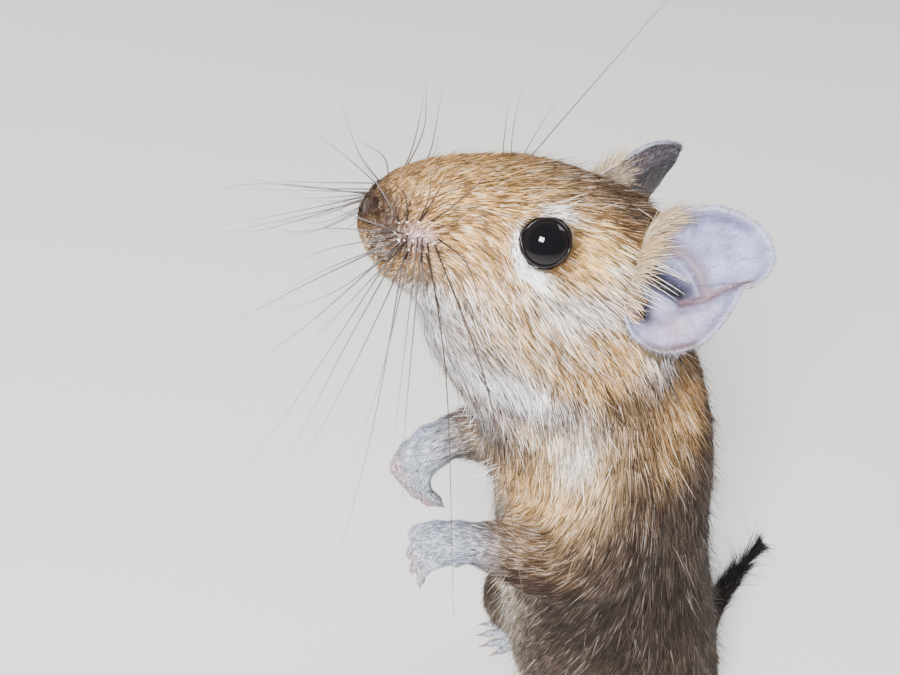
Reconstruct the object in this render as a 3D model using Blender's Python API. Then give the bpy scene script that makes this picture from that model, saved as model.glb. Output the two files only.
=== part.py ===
"""A degu standing up on its hind feet, as a life-size museum model.

The animal faces -Y, its left side is +X and the floor is Z = 0. Lengths are metres. The outer surface is the
outline of the coat, out to the tips of its short fur. The flesh is modelled as whole skins and parted with thin
cuts, so that each named part meets its neighbours face to face.
"""
import math
import random

import bmesh
import bpy
import numpy as np
from mathutils import Matrix, Vector
from mathutils.bvhtree import BVHTree

GAP = 0.0003
MM = 0.001
TUFT_SEED = 7
HALF_SPACE = 200.0

# Head: a frame of its own in millimetres, with x to the animal's left, y towards the neck and z up
HEAD_CENTRE = Vector((0.0, -40.0, 157.0)) * MM
HEAD_ROLL = math.radians(-13.5)
HEAD_PITCH = math.radians(-20.6)
HEAD_YAW = math.radians(-2.3)
# Each section: its y, then points (x, z) from the middle of the top down the left side to the middle of the bottom
HEAD_SECTIONS = (
    (-25.1, (0.0, -0.9), (1.2, -1.2), (1.7, -2.4), (1.2, -3.6), (0.0, -4.0)),
    (-24.2, (0.0, 1.6), (2.8, 0.8), (4.2, -2.2), (3.2, -5.0), (0.0, -5.8)),
    (-22.0, (0.0, 4.3), (4.4, 2.8), (6.2, -2.2), (5.0, -6.6), (0.0, -7.8)),
    (-19.0, (0.0, 6.4), (5.4, 4.6), (7.6, -2.4), (5.9, -8.2), (0.0, -9.6)),
    (-15.5, (0.0, 8.1), (6.1, 6.3), (8.7, -1.8), (6.9, -9.4), (0.0, -11.6)),
    (-11.5, (0.0, 9.3), (6.9, 7.5), (9.6, -0.8), (8.1, -10.4), (0.0, -13.8)),
    (-7.5, (0.0, 10.2), (7.8, 8.3), (10.7, 0.8), (9.6, -10.8), (0.0, -15.6)),
    (-3.5, (0.0, 10.9), (8.6, 9.0), (11.9, 2.6), (11.2, -10.4), (0.0, -17.2)),
    (1.0, (0.0, 11.4), (9.1, 9.4), (12.7, 2.4), (12.6, -10.2), (0.0, -18.6)),
    (6.0, (0.0, 11.7), (9.4, 9.5), (13.5, 0.8), (13.8, -9.4), (0.0, -19.4)),
    (11.0, (0.0, 11.5), (9.3, 9.1), (13.9, 0.2), (14.2, -8.6), (0.0, -19.2)),
    (16.0, (0.0, 10.5), (8.8, 7.8), (13.4, -0.4), (13.8, -8.6), (0.0, -18.4)),
    (21.0, (0.0, 8.3), (7.8, 5.6), (12.2, -2.0), (12.4, -9.4), (0.0, -17.0)),
    (26.0, (0.0, 4.4), (6.2, 2.0), (9.8, -4.6), (9.8, -10.6), (0.0, -15.0)),
)
EYE_CENTRE = Vector((8.7, -2.9, 3.9)) * MM
EYE_RADIUS = 4.3 * MM
EYE_AXIS = Vector((0.88, -0.34, 0.33)).normalized()
LID_RADIUS = 3.7 * MM
LID_THICKNESS = 0.55 * MM
LID_STAND = 0.45 * MM
EAR_ROOT = Vector((13.0, 13.5, 2.0)) * MM
EAR_UP = Vector((0.033, 0.717, 0.697))
EAR_FACING = Vector((0.72, -0.50, 0.48))
RIGHT_EAR_LIFT = math.radians(9.0)
# The ear's edge as (towards the tip, towards the crown) from its root, round from the front of the crown edge
EAR_EDGE = (
    (3.1, 7.4), (6.1, 8.8), (9.5, 8.3), (13.1, 6.7), (15.9, 4.2), (17.6, 1.0), (17.0, -2.4), (14.7, -4.3),
    (12.1, -4.1), (10.2, -5.4), (8.2, -6.7), (5.8, -8.0), (3.3, -8.8), (0.6, -8.7), (-1.8, -7.9), (-3.6, -6.3),
    (-4.7, -4.0), (-4.4, -0.8), (-2.2, 2.0), (0.2, 4.8),
)
EAR_BOWL = Vector((2.6, 0.8))
EAR_DEPTH = 4.6 * MM
EAR_THICKNESS = 0.9 * MM
EAR_RINGS = 4
JAW_CENTRE = Vector((0.0, -14.5, -13.2)) * MM
JAW_RADII = (5.8, 7.6, 5.2)
MUZZLE_CUT = -10.5 * MM
NOSE_CUT = -22.4 * MM
NOSTRIL = Vector((1.9, -24.4, -1.4)) * MM
LIP_CLEFT = Vector((0.0, -22.6, -6.8)) * MM
LIP_CLEFT_WAY = Vector((0.0, 0.73, -0.68))
LIP_CLEFT_RADII = (0.4 * MM, 1.5 * MM, 4.4 * MM)
JAW_INSET = (0.975, 0.985, 0.98)
PAD_CENTRE = (6.6, -17.8, -3.2)
PAD_RADII = (4.4, 4.8, 4.0)
WHISKER_RADIUS = 0.35
WHISKER_ROOT = 1.3
# Each whisker: how far back and up its root lies on the pad, its way out (x, y, z), its length and its sag
WHISKERS = (
    (-2.2, 1.6, (0.55, -0.80, 0.35), 30.0, 3.0),
    (-2.4, 0.2, (0.60, -0.78, 0.02), 34.0, 4.0),
    (-2.2, -1.3, (0.58, -0.70, -0.40), 34.0, 4.0),
    (-0.8, 1.9, (0.72, -0.35, 0.62), 36.0, 4.0),
    (-0.8, 0.5, (0.84, -0.45, 0.20), 42.0, 6.0),
    (-0.8, -0.9, (0.80, -0.48, -0.28), 44.0, 6.0),
    (-0.8, -2.0, (0.60, -0.40, -0.68), 38.0, 4.0),
    (0.9, 1.8, (0.80, 0.10, 0.58), 42.0, 5.0),
    (0.9, 0.5, (0.95, 0.02, 0.15), 48.0, 8.0),
    (0.9, -0.9, (0.85, 0.00, -0.48), 50.0, 7.0),
    (0.9, -2.0, (0.55, -0.05, -0.82), 42.0, 4.0),
    (2.4, 1.0, (0.84, 0.45, 0.30), 44.0, 7.0),
    (2.4, -0.6, (0.82, 0.42, -0.36), 46.0, 7.0),
)

# Trunk and neck: y and z of the middle, half width, reach towards the back and towards the belly, in millimetres
TRUNK_SECTIONS = (
    (3.5, 4.0, 12.0, 11.0, 10.0),
    (2.5, 10.0, 20.5, 18.0, 20.0),
    (0.0, 20.0, 25.6, 21.4, 24.6),
    (-3.0, 36.0, 27.4, 22.4, 25.8),
    (-7.4, 55.0, 26.6, 20.8, 25.4),
    (-12.0, 74.0, 24.0, 19.4, 23.6),
    (-16.0, 92.0, 21.2, 19.4, 22.2),
    (-19.4, 108.0, 19.0, 19.4, 21.4),
    (-23.2, 121.0, 17.6, 18.2, 20.0),
    (-28.2, 132.0, 17.0, 16.8, 17.5),
    (-33.0, 141.0, 15.8, 14.8, 15.0),
    (-36.0, 147.5, 12.0, 11.5, 12.0),
)
THROAT = (
    ((0.0, -28.0, 112.0), 15.5),
    ((0.4, -33.0, 125.0), 13.6),
    ((1.4, -41.5, 136.5), 10.8),
    ((2.4, -48.5, 145.5), 8.2),
)
NECK_CUT = ((0.0, -25.5, 137.0), (-0.10, -0.52, 0.85))
CHEST_CUT = ((0.0, -22.0, 117.0), (0.0, -0.36, 0.93))
BELLY_CUT = ((0.0, -12.0, 76.0), (0.0, -0.26, 0.965))
RUMP_CUT = ((0.0, -5.0, 46.0), (0.0, -0.22, 0.975))

# Limbs, as points down each limb in millimetres with the thickness there
ARM_LEFT = (
    ((12.5, -21.0, 117.0), 9.0),
    ((16.0, -22.5, 107.0), 9.2),
    ((17.5, -25.0, 97.5), 8.6),
    ((16.6, -32.0, 95.8), 7.2),
    ((14.6, -39.5, 98.0), 5.4),
    ((13.4, -45.5, 100.6), 4.2),
)
ARM_RIGHT = (
    ((-12.5, -21.0, 117.0), 9.0),
    ((-16.0, -23.0, 107.0), 9.0),
    ((-16.2, -27.0, 98.5), 8.2),
    ((-13.5, -34.5, 97.6), 6.8),
    ((-10.4, -41.5, 100.4), 5.2),
    ((-8.8, -46.6, 102.2), 4.3),
)
LEG_LEFT = (
    ((12.0, 4.0, 36.0), 14.0),
    ((16.0, -8.0, 33.0), 14.8),
    ((17.0, -20.0, 25.0), 11.0),
    ((16.8, -20.5, 17.5), 8.2),
    ((16.2, -10.0, 12.2), 7.0),
    ((15.6, 0.8, 8.0), 5.9),
)
# Each hand: wrist, knuckles, middle of the fingers and their tips in millimetres, and the way across the hand
HAND_LEFT = ((13.4, -45.5, 100.6), (12.3, -51.8, 100.2), (11.6, -55.4, 97.2), (11.2, -56.4, 92.8),
             (0.80, 0.10, -0.60))
HAND_RIGHT = ((-8.8, -46.6, 102.2), (-9.0, -52.2, 96.6), (-8.8, -53.4, 89.8), (-8.2, -50.2, 83.4),
              (0.97, 0.10, 0.20))
PALM_RADIUS = 3.7
FINGER_RADIUS = 1.1
FINGER_SPREAD = 2.3
FOOT_LENGTH = 36.0
FOOT_TURN = math.radians(5.0)
INSTEP = 20.5
HEEL = (15.5, 3.0)
SOLE_POINTS = ((0.0, 2.6, 4.2), (0.35, 2.5, 4.3), (0.75, 2.3, 4.6), (1.0, 2.0, 4.6))
HOCK_RADIUS = 3.7
TOE_RADIUS = 1.3
TOE_REACH = (0.29, 0.36, 0.37, 0.34, 0.24)
ANKLE_HEIGHT = 7.2

# Tail: points of its middle line with the radius there, laid on the floor behind and to the right
TAIL_POINTS = (
    ((1.0, 16.0, 15.0), 6.2),
    ((-1.0, 22.5, 9.5), 5.0),
    ((-6.0, 28.5, 5.4), 4.0),
    ((-13.0, 34.4, 3.1), 3.4),
    ((-20.0, 41.5, 2.8), 3.1),
    ((-26.0, 49.0, 2.6), 2.9),
    ((-30.8, 55.5, 2.3), 2.5),
    ((-33.6, 59.2, 2.0), 1.9),
)
TAIL_CUTS = (2, 4, 5)
TUFT_LOCKS = 18
LOCK_LENGTH = 12.5
LOCK_WIDTH = 1.45


def clear_scene():
    """Remove whatever the scene holds before modelling starts."""
    for obj in list(bpy.data.objects):
        bpy.data.objects.remove(obj, do_unlink=True)


def remove(*objects):
    """Remove helpers once they have been used."""
    for obj in objects:
        bpy.data.objects.remove(obj, do_unlink=True)


def material(name, colour, roughness):
    """A Principled material of one colour."""
    made = bpy.data.materials.new(name)
    made.use_nodes = True
    shader = made.node_tree.nodes["Principled BSDF"]
    shader.inputs["Base Color"].default_value = (*colour, 1.0)
    shader.inputs["Roughness"].default_value = roughness
    shader.inputs["Metallic"].default_value = 0.0
    return made


def metres(values):
    """A vector in metres from millimetres."""
    return Vector(values) * MM


def add_object(name, bm):
    """An object made from a bmesh, which is then freed."""
    mesh = bpy.data.meshes.new(name)
    bm.to_mesh(mesh)
    bm.free()
    obj = bpy.data.objects.new(name, mesh)
    bpy.context.scene.collection.objects.link(obj)
    return obj


def bake(obj):
    """Turn an object's modifiers into its mesh."""
    bpy.context.view_layer.update()
    graph = bpy.context.evaluated_depsgraph_get()
    mesh = bpy.data.meshes.new_from_object(obj.evaluated_get(graph))
    obj.modifiers.clear()
    obj.data = mesh
    return obj


def largest_shell(obj):
    """Keep only the largest closed surface of an object's mesh."""
    bm = bmesh.new()
    bm.from_mesh(obj.data)
    unseen = set(bm.verts)
    shells = []
    while unseen:
        front = [unseen.pop()]
        shell = list(front)
        while front:
            vert = front.pop()
            for edge in vert.link_edges:
                other = edge.other_vert(vert)
                if other in unseen:
                    unseen.remove(other)
                    front.append(other)
                    shell.append(other)
        shells.append(shell)
    shells.sort(key=len)
    loose = [vert for shell in shells[:-1] for vert in shell]
    bmesh.ops.delete(bm, geom=loose, context="VERTS")
    bm.to_mesh(obj.data)
    bm.free()
    return obj


def is_closed(mesh):
    """Whether a mesh has faces, and exactly two of them at each edge."""
    bm = bmesh.new()
    bm.from_mesh(mesh)
    closed = len(bm.faces) > 0 and all(len(edge.link_faces) == 2 for edge in bm.edges)
    bm.free()
    return closed


def apply_boolean(obj, operation, **operand):
    """Apply one Boolean by the exact solver, or by the manifold one where that leaves an opening or nothing."""
    start = obj.data.copy()
    for solver in ("EXACT", "MANIFOLD"):
        obj.data = start.copy()
        step = obj.modifiers.new(operation.lower(), "BOOLEAN")
        step.operation = operation
        step.solver = solver
        for setting, value in operand.items():
            setattr(step, setting, value)
        bake(obj)
        if is_closed(obj.data):
            break
    return obj


def boolean(obj, tool, operation):
    """Cut or join an object with another, which is then removed."""
    apply_boolean(obj, operation, object=tool)
    remove(tool)
    return obj


def fuse(name, pieces):
    """One closed body from overlapping pieces, by a single union."""
    base, others = pieces[0], pieces[1:]
    group = bpy.data.collections.new(name)
    for piece in others:
        group.objects.link(piece)
    apply_boolean(base, "UNION", operand_type="COLLECTION", collection=group)
    remove(*others)
    bpy.data.collections.remove(group)
    base.name = name
    return largest_shell(base)


def copy_of(obj, name):
    """A separate copy of an object and its mesh."""
    twin = bpy.data.objects.new(name, obj.data.copy())
    bpy.context.scene.collection.objects.link(twin)
    return twin


def finish_node(obj, name, finish):
    """Name an object, give it its material and shade it smooth."""
    obj.name = name
    obj.data.name = name
    obj.data.materials.clear()
    obj.data.materials.append(finish)
    obj.data.shade_smooth()
    return obj


def catmull(rows, steps, closed=False):
    """Rows of numbers with smooth in-between rows added."""
    if closed:
        padded = [rows[-1], *rows, rows[0], rows[1]]
    else:
        padded = [rows[0], *rows, rows[-1]]
    result = []
    for first, second, third, fourth in zip(padded, padded[1:], padded[2:], padded[3:]):
        for step in range(steps):
            t = step / steps
            result.append([
                0.5 * (2 * b + (c - a) * t + (2 * a - 5 * b + 4 * c - d) * t * t
                       + (3 * b - a - 3 * c + d) * t ** 3)
                for a, b, c, d in zip(first, second, third, fourth)
            ])
    if not closed:
        result.append(list(rows[-1]))
    return result


def loop_of(bm, points):
    """A closed loop of edges through the points, shaped from a circle."""
    circle = bmesh.ops.create_circle(bm, segments=len(points), radius=1.0)["verts"]
    for vert, point in zip(circle, points):
        vert.co = point
    return circle


def oval(bm, centre, side, top, half_width, up, down, segments):
    """A closed loop shaped as an oval that can reach further one way than the other."""
    points = []
    for index in range(segments):
        turn = 2 * math.pi * index / segments
        x, y = math.cos(turn), math.sin(turn)
        points.append(centre + side * (x * half_width) + top * (y * (up if y > 0 else down)))
    return loop_of(bm, points)


def bridge(bm, rings):
    """Join rings of equal count into a tube and close both ends."""
    for first, second in zip(rings, rings[1:]):
        edges = set()
        for ring in (first, second):
            verts = set(ring)
            edges |= {edge for vert in ring for edge in vert.link_edges if edge.other_vert(vert) in verts}
        bmesh.ops.bridge_loops(bm, edges=list(edges))
    bm.faces.new(rings[0])
    bm.faces.new(rings[-1])
    bmesh.ops.recalc_face_normals(bm, faces=bm.faces)


def tube(bm, points, segments, flatten=1.0, side_hint=(1.0, 0.0, 0.0), steps=3):
    """A round-ended limb through (point, radius) pairs in millimetres, flattened across its side if asked."""
    rows = catmull([(*point, radius) for point, radius in points], steps)
    middles = [metres(row[:3]) for row in rows]
    radii = [row[3] * MM for row in rows]
    hint = Vector(side_hint).normalized()
    start = (middles[1] - middles[0]).normalized()
    end = (middles[-1] - middles[-2]).normalized()
    rings = []

    def add(middle, along, radius):
        side = hint - along * hint.dot(along)
        side.normalize()
        rings.append(oval(bm, middle, side, along.cross(side), radius, radius * flatten, radius * flatten,
                          segments))

    for turn in (72, 38):
        angle = math.radians(turn)
        add(middles[0] - start * radii[0] * math.sin(angle), start, radii[0] * math.cos(angle))
    for index, (middle, radius) in enumerate(zip(middles, radii)):
        before = middles[max(index - 1, 0)]
        after = middles[min(index + 1, len(middles) - 1)]
        add(middle, (after - before).normalized(), radius)
    for turn in (38, 72):
        angle = math.radians(turn)
        add(middles[-1] + end * radii[-1] * math.sin(angle), end, radii[-1] * math.cos(angle))
    bridge(bm, rings)


def tube_object(name, points, segments=14, **shape):
    """An object holding one tube."""
    bm = bmesh.new()
    tube(bm, points, segments, **shape)
    return add_object(name, bm)


def ellipsoid(bm, matrix, radii, segments=20):
    """A closed ball stretched to three radii and placed by a matrix."""
    bmesh.ops.create_uvsphere(bm, u_segments=segments, v_segments=segments // 2, radius=1.0,
                              matrix=matrix @ Matrix.Diagonal((*radii, 1.0)))


def ball_object(name, matrix, radii, segments=20):
    """An object holding one ball."""
    bm = bmesh.new()
    ellipsoid(bm, matrix, radii, segments)
    return add_object(name, bm)


def frame_from(origin, along, facing):
    """A matrix with z along one direction and x as near as can be to another."""
    z = Vector(along).normalized()
    x = Vector(facing)
    x = (x - z * x.dot(z)).normalized()
    turn = Matrix((x, z.cross(x), z)).transposed().to_4x4()
    return Matrix.Translation(origin) @ turn


def head_matrix():
    """The head frame's place in the model."""
    turn = (Matrix.Rotation(HEAD_YAW, 4, "Z") @ Matrix.Rotation(HEAD_PITCH, 4, "X")
            @ Matrix.Rotation(HEAD_ROLL, 4, "Y"))
    return Matrix.Translation(HEAD_CENTRE) @ turn


def mirrored(vector, side):
    """A head-frame vector on the left for side 1, or on the right for side -1."""
    return Vector((vector.x * side, vector.y, vector.z))


def fill_creases(obj, rounds):
    """Let the valleys where shapes meet rise until they blend, and leave rounded forms as they are."""
    mesh = obj.data
    mesh.calc_loop_triangles()
    points = np.empty(len(mesh.vertices) * 3)
    mesh.vertices.foreach_get("co", points)
    points = points.reshape(-1, 3)
    edges = np.empty(len(mesh.edges) * 2, np.int32)
    mesh.edges.foreach_get("vertices", edges)
    edges = edges.reshape(-1, 2)
    corners = np.empty(len(mesh.loop_triangles) * 3, np.int32)
    mesh.loop_triangles.foreach_get("vertices", corners)
    corners = corners.reshape(-1, 3)
    count = len(points)
    ends = np.concatenate([edges[:, 0], edges[:, 1]])
    others = np.concatenate([edges[:, 1], edges[:, 0]])
    degree = np.bincount(ends, minlength=count)[:, None]
    for _ in range(rounds):
        mean = np.stack([np.bincount(ends, points[others, k], count) for k in range(3)], 1) / degree
        a, b, c = (points[corners[:, k]] for k in range(3))
        faces = np.cross(b - a, c - a)
        normals = np.zeros_like(points)
        for k in range(3):
            for axis in range(3):
                normals[:, axis] += np.bincount(corners[:, k], faces[:, axis], count)
        normals /= np.linalg.norm(normals, axis=1, keepdims=True) + 1e-12
        step = mean - points
        rise = np.einsum("ij,ij->i", step, normals)[:, None]
        points = points + step * np.where(rise > 0, 0.7, 0.06)
    mesh.vertices.foreach_set("co", points.ravel())
    mesh.update()
    return obj


def skin_of(bm, name, cell, rounds, passes, ratio):
    """Merge overlapping shapes into one skin, blend the joins and thin the mesh."""
    obj = add_object(name, bm)
    merge = obj.modifiers.new("merge", "REMESH")
    merge.mode = "VOXEL"
    merge.voxel_size = cell
    bake(obj)
    fill_creases(obj, rounds)
    soften = obj.modifiers.new("soften", "SMOOTH")
    soften.factor = 0.5
    soften.iterations = passes
    thin = obj.modifiers.new("thin", "DECIMATE")
    thin.ratio = ratio
    bake(obj)
    return largest_shell(obj)


def section_points(section):
    """The closed outline of one section of the head, from its half profile."""
    y, *half = section
    inner = half[1:-1]
    around = [*half, *[(-x, z) for x, z in reversed(inner)]]
    return [Vector((x * MM, y * MM, z * MM)) for x, z in catmull(around, 4, closed=True)]


def head_shapes(bm):
    """The head's loft in its own frame, with the whisker pads, brows and jowls."""
    flat = [[section[0], *[value for point in section[1:] for value in point]] for section in HEAD_SECTIONS]
    rings = []
    for row in catmull(flat, 2):
        points = [(row[1 + 2 * k], row[2 + 2 * k]) for k in range(5)]
        rings.append(loop_of(bm, section_points((row[0], *points))))
    bridge(bm, rings)
    bumps = (
        ((4.6, -18.0, -4.6), (4.4, 5.6, 4.4)),
        ((7.6, -2.9, 4.4), (4.1, 6.6, 5.4)),
        ((8.4, 8.0, -6.2), (6.6, 11.0, 8.6)),
    )
    for side in (1, -1):
        for centre, radii in bumps:
            place = Matrix.Translation(mirrored(metres(centre), side))
            ellipsoid(bm, place, [radius * MM for radius in radii])


def trunk_rings(bm, sections):
    """The trunk and neck through the given sections."""
    rows = catmull(sections, 3)
    rings = []
    for index, (y, z, half_width, back, belly) in enumerate(rows):
        before = rows[max(index - 1, 0)]
        after = rows[min(index + 1, len(rows) - 1)]
        along = Vector((0.0, after[0] - before[0], after[1] - before[1])).normalized()
        rings.append(oval(bm, metres((0.0, y, z)), Vector((1, 0, 0)), Vector((0.0, along.z, -along.y)),
                          half_width * MM, back * MM, belly * MM, 32))
    bridge(bm, rings)


def mirrored_limb(points):
    """The same limb on the other side."""
    return tuple(((-x, y, z), radius) for (x, y, z), radius in points)


def body_shapes(bm):
    """Trunk, arms, legs and the root of the tail."""
    trunk_rings(bm, TRUNK_SECTIONS)
    tube(bm, THROAT, 20)
    tube(bm, ARM_LEFT, 18)
    tube(bm, ARM_RIGHT, 18)
    tube(bm, LEG_LEFT, 20)
    tube(bm, mirrored_limb(LEG_LEFT), 20)
    tube(bm, TAIL_POINTS[:4], 16)


def head_skin():
    """Skull, cheeks, muzzle, chin and the top of the neck as one skin."""
    bm = bmesh.new()
    head_shapes(bm)
    bmesh.ops.transform(bm, matrix=head_matrix(), verts=bm.verts)
    trunk_rings(bm, TRUNK_SECTIONS[7:])
    tube(bm, THROAT, 20)
    return skin_of(bm, "head_skin", 0.6 * MM, 160, 4, 0.031)


def body_skin():
    """Neck, trunk, arms, legs and the root of the tail as one skin."""
    bm = bmesh.new()
    head_shapes(bm)
    bmesh.ops.transform(bm, matrix=head_matrix(), verts=bm.verts)
    body_shapes(bm)
    return skin_of(bm, "body_skin", 0.9 * MM, 60, 4, 0.0185)


def cut_plane(obj, plane, keep_upper, name):
    """The part of an object on one side of a plane, closed flat, half a gap back from the plane."""
    normal = Vector(plane[1]).normalized() * (1 if keep_upper else -1)
    hint = (1, 0, 0) if abs(normal.x) < 0.8 else (0, 1, 0)
    start = metres(plane[0]) + normal * (GAP / 2)
    half = block_region(frame_from(start, normal, hint), (-HALF_SPACE, -HALF_SPACE, 0.0),
                        (HALF_SPACE, HALF_SPACE, HALF_SPACE))
    return largest_shell(boolean(copy_of(obj, name), half(0.0), "INTERSECT"))


def floor_cut(obj, name):
    """Flatten an object's underside at the floor."""
    cut = cut_plane(obj, ((0, 0, -GAP / 2 / MM), (0, 0, 1)), True, name)
    remove(obj)
    return cut


def take(source, name, region):
    """Part the piece inside a region from the source, with a gap between them."""
    piece = boolean(copy_of(source, name), region(0.0), "INTERSECT")
    boolean(source, region(GAP), "DIFFERENCE")
    largest_shell(source)
    return largest_shell(piece)


def ball_region(matrix, radii, segments=10):
    """A maker of balls for parting, grown as asked."""
    def make(grow):
        return ball_object("region", matrix, [radius * MM + grow for radius in radii], segments)
    return make


def limb_region(points, scale, outward=0.0):
    """A maker of tubes round a stretch of a limb for parting, grown as asked and set outward a little."""
    shift = Vector((math.copysign(outward, points[0][0][0]), 0.0, 0.0))

    def make(grow):
        wide = [(tuple(Vector(point) + shift), radius * scale + grow / MM) for point, radius in points]
        return tube_object("region", wide, segments=11, steps=1)
    return make


def block_region(matrix, low, high):
    """A maker of blocks for parting, from a low to a high corner in millimetres, grown as asked."""
    def make(grow):
        bm = bmesh.new()
        size = [(h - l) * MM + 2 * grow for l, h in zip(low, high)]
        middle = metres([(l + h) / 2 for l, h in zip(low, high)])
        bmesh.ops.create_cube(bm, size=1.0, matrix=matrix @ Matrix.Translation(middle)
                              @ Matrix.Diagonal((*size, 1.0)))
        return add_object("region", bm)
    return make


def eyeball(name, side, finish):
    """A round eye, set deep in its socket."""
    place = head_matrix() @ Matrix.Translation(mirrored(EYE_CENTRE, side))
    return finish_node(ball_object(name, place, [EYE_RADIUS] * 3, 16), name, finish)


def eyelids(side):
    """A thin raised rim round the eye's opening, swept round its axis."""
    axis = mirrored(EYE_AXIS, side)
    outward = math.sqrt(EYE_RADIUS ** 2 - LID_RADIUS ** 2) + LID_STAND
    place = head_matrix() @ frame_from(mirrored(EYE_CENTRE, side) + axis * outward, axis, (0, 0, 1))
    bm = bmesh.new()
    profile = bmesh.ops.create_circle(
        bm, segments=6, radius=LID_THICKNESS,
        matrix=Matrix.Translation((LID_RADIUS + 0.25 * MM, 0, 0)) @ Matrix.Rotation(math.pi / 2, 4, "X"),
    )["verts"]
    edges = list({edge for vert in profile for edge in vert.link_edges})
    bmesh.ops.spin(bm, geom=edges, cent=(0, 0, 0), axis=(0, 0, 1), angle=2 * math.pi, steps=18, use_merge=True)
    bmesh.ops.recalc_face_normals(bm, faces=bm.faces)
    bmesh.ops.transform(bm, matrix=place, verts=bm.verts)
    return add_object("lids", bm)


def ear_depth(reach, along, across):
    """How far the ear's face lies in front of its plane, in metres, at a share of the way to its edge."""
    bowl = -EAR_DEPTH * (1.0 - reach ** 1.7)
    rolled = 1.5 * MM * reach ** 5 * max(0.0, min(1.0, (across - 2.0) / 5.0))
    fold = 0.7 * MM * math.exp(-(((across + 1.6) / 1.3) ** 2)) * math.exp(-(((along - 10.0) / 3.4) ** 2))
    return bowl + rolled + fold


def ear_shell(side):
    """A thin cupped ear: rings of triangles pushed into a bowl, with its thickness on both faces alike."""
    edge = catmull([list(point) for point in EAR_EDGE], 2, closed=True)
    bm = bmesh.new()
    loops = []
    for index in range(EAR_RINGS):
        reach = 1.0 - index / EAR_RINGS
        points = []
        for along, across in edge:
            flat = EAR_BOWL.lerp(Vector((along, across)), reach)
            points.append(Vector((ear_depth(reach, flat.x, flat.y), -flat.y * MM, flat.x * MM)))
        loops.append(loop_of(bm, points))
    for outer, inner in zip(loops, loops[1:]):
        ring = set(outer) | set(inner)
        pair = [line for line in bm.edges
                if all(vert in ring for vert in line.verts) and len(line.link_faces) < 2]
        bmesh.ops.bridge_loops(bm, edges=pair)
    bm.faces.new(loops[-1])
    bmesh.ops.triangulate(bm, faces=bm.faces)
    bmesh.ops.recalc_face_normals(bm, faces=bm.faces)
    if sum(face.normal.x * face.calc_area() for face in bm.faces) < 0:
        bmesh.ops.reverse_faces(bm, faces=bm.faces)
    place = frame_from(EAR_ROOT, EAR_UP, EAR_FACING)
    bmesh.ops.transform(bm, matrix=place, verts=bm.verts)
    if side < 0:
        lift = Matrix.Translation(EAR_ROOT) @ Matrix.Rotation(RIGHT_EAR_LIFT, 4, "X") @ Matrix.Translation(-EAR_ROOT)
        bmesh.ops.transform(bm, matrix=Matrix.Diagonal((-1, 1, 1, 1)) @ lift, verts=bm.verts)
        bmesh.ops.reverse_faces(bm, faces=bm.faces)
    bmesh.ops.transform(bm, matrix=head_matrix(), verts=bm.verts)
    obj = add_object("ear", bm)
    thick = obj.modifiers.new("thick", "SOLIDIFY")
    thick.thickness = EAR_THICKNESS
    thick.offset = -1.0
    return bake(obj)


def grown(obj, distance):
    """A copy of an object pushed out along its normals."""
    twin = copy_of(obj, "grown")
    bm = bmesh.new()
    bm.from_mesh(twin.data)
    bm.normal_update()
    for vert, normal in [(vert, vert.normal.copy()) for vert in bm.verts]:
        vert.co += normal * distance
    bm.to_mesh(twin.data)
    bm.free()
    return twin


def whisker(start, way, length, sag, side):
    """One thin tapered bristle in the head's frame, in millimetres, bent down by its own weight."""
    points = [start + way * (length * share) + Vector((0, 0, -sag)) * share ** 2 for share in (0.0, 0.35, 0.7, 1.0)]
    across = way.cross(Vector((0, 0, 1))).normalized()
    bm = bmesh.new()
    rings = []
    for point, share in zip(points, (1.0, 1.0, 0.85, 0.3)):
        radius = WHISKER_RADIUS * share * MM
        rings.append(oval(bm, point * MM, across, across.cross(way), radius, radius, radius, 4))
    bridge(bm, rings)
    if side < 0:
        bmesh.ops.transform(bm, matrix=Matrix.Diagonal((-1, 1, 1, 1)), verts=bm.verts)
        bmesh.ops.reverse_faces(bm, faces=bm.faces)
    bmesh.ops.transform(bm, matrix=head_matrix(), verts=bm.verts)
    return add_object("whisker", bm)


def whiskers(name, side, muzzle, finish):
    """The pad of one side, parted from the muzzle, with its whiskers sunk into it where they leave it."""
    place = head_matrix()
    pad_place = place @ Matrix.Translation(mirrored(metres(PAD_CENTRE), side))
    pad = take(muzzle, "pad", ball_region(pad_place, PAD_RADII))
    tree = BVHTree.FromPolygons([vert.co for vert in pad.data.vertices],
                                [face.vertices for face in pad.data.polygons])
    outward = place.to_3x3() @ Vector((side, 0, 0))
    pieces = [pad]
    for back, rise, way, length, sag in WHISKERS:
        inside = pad_place @ metres((0.0, back, rise))
        leaves = place.inverted() @ tree.ray_cast(inside, outward)[0]
        out = Vector(way).normalized()
        start = mirrored(leaves, side) / MM - out * WHISKER_ROOT
        pieces.append(whisker(start, out, length, sag, side))
    fan = boolean(fuse(name, pieces), grown(muzzle, GAP), "DIFFERENCE")
    return finish_node(largest_shell(fan), name, finish)


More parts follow.
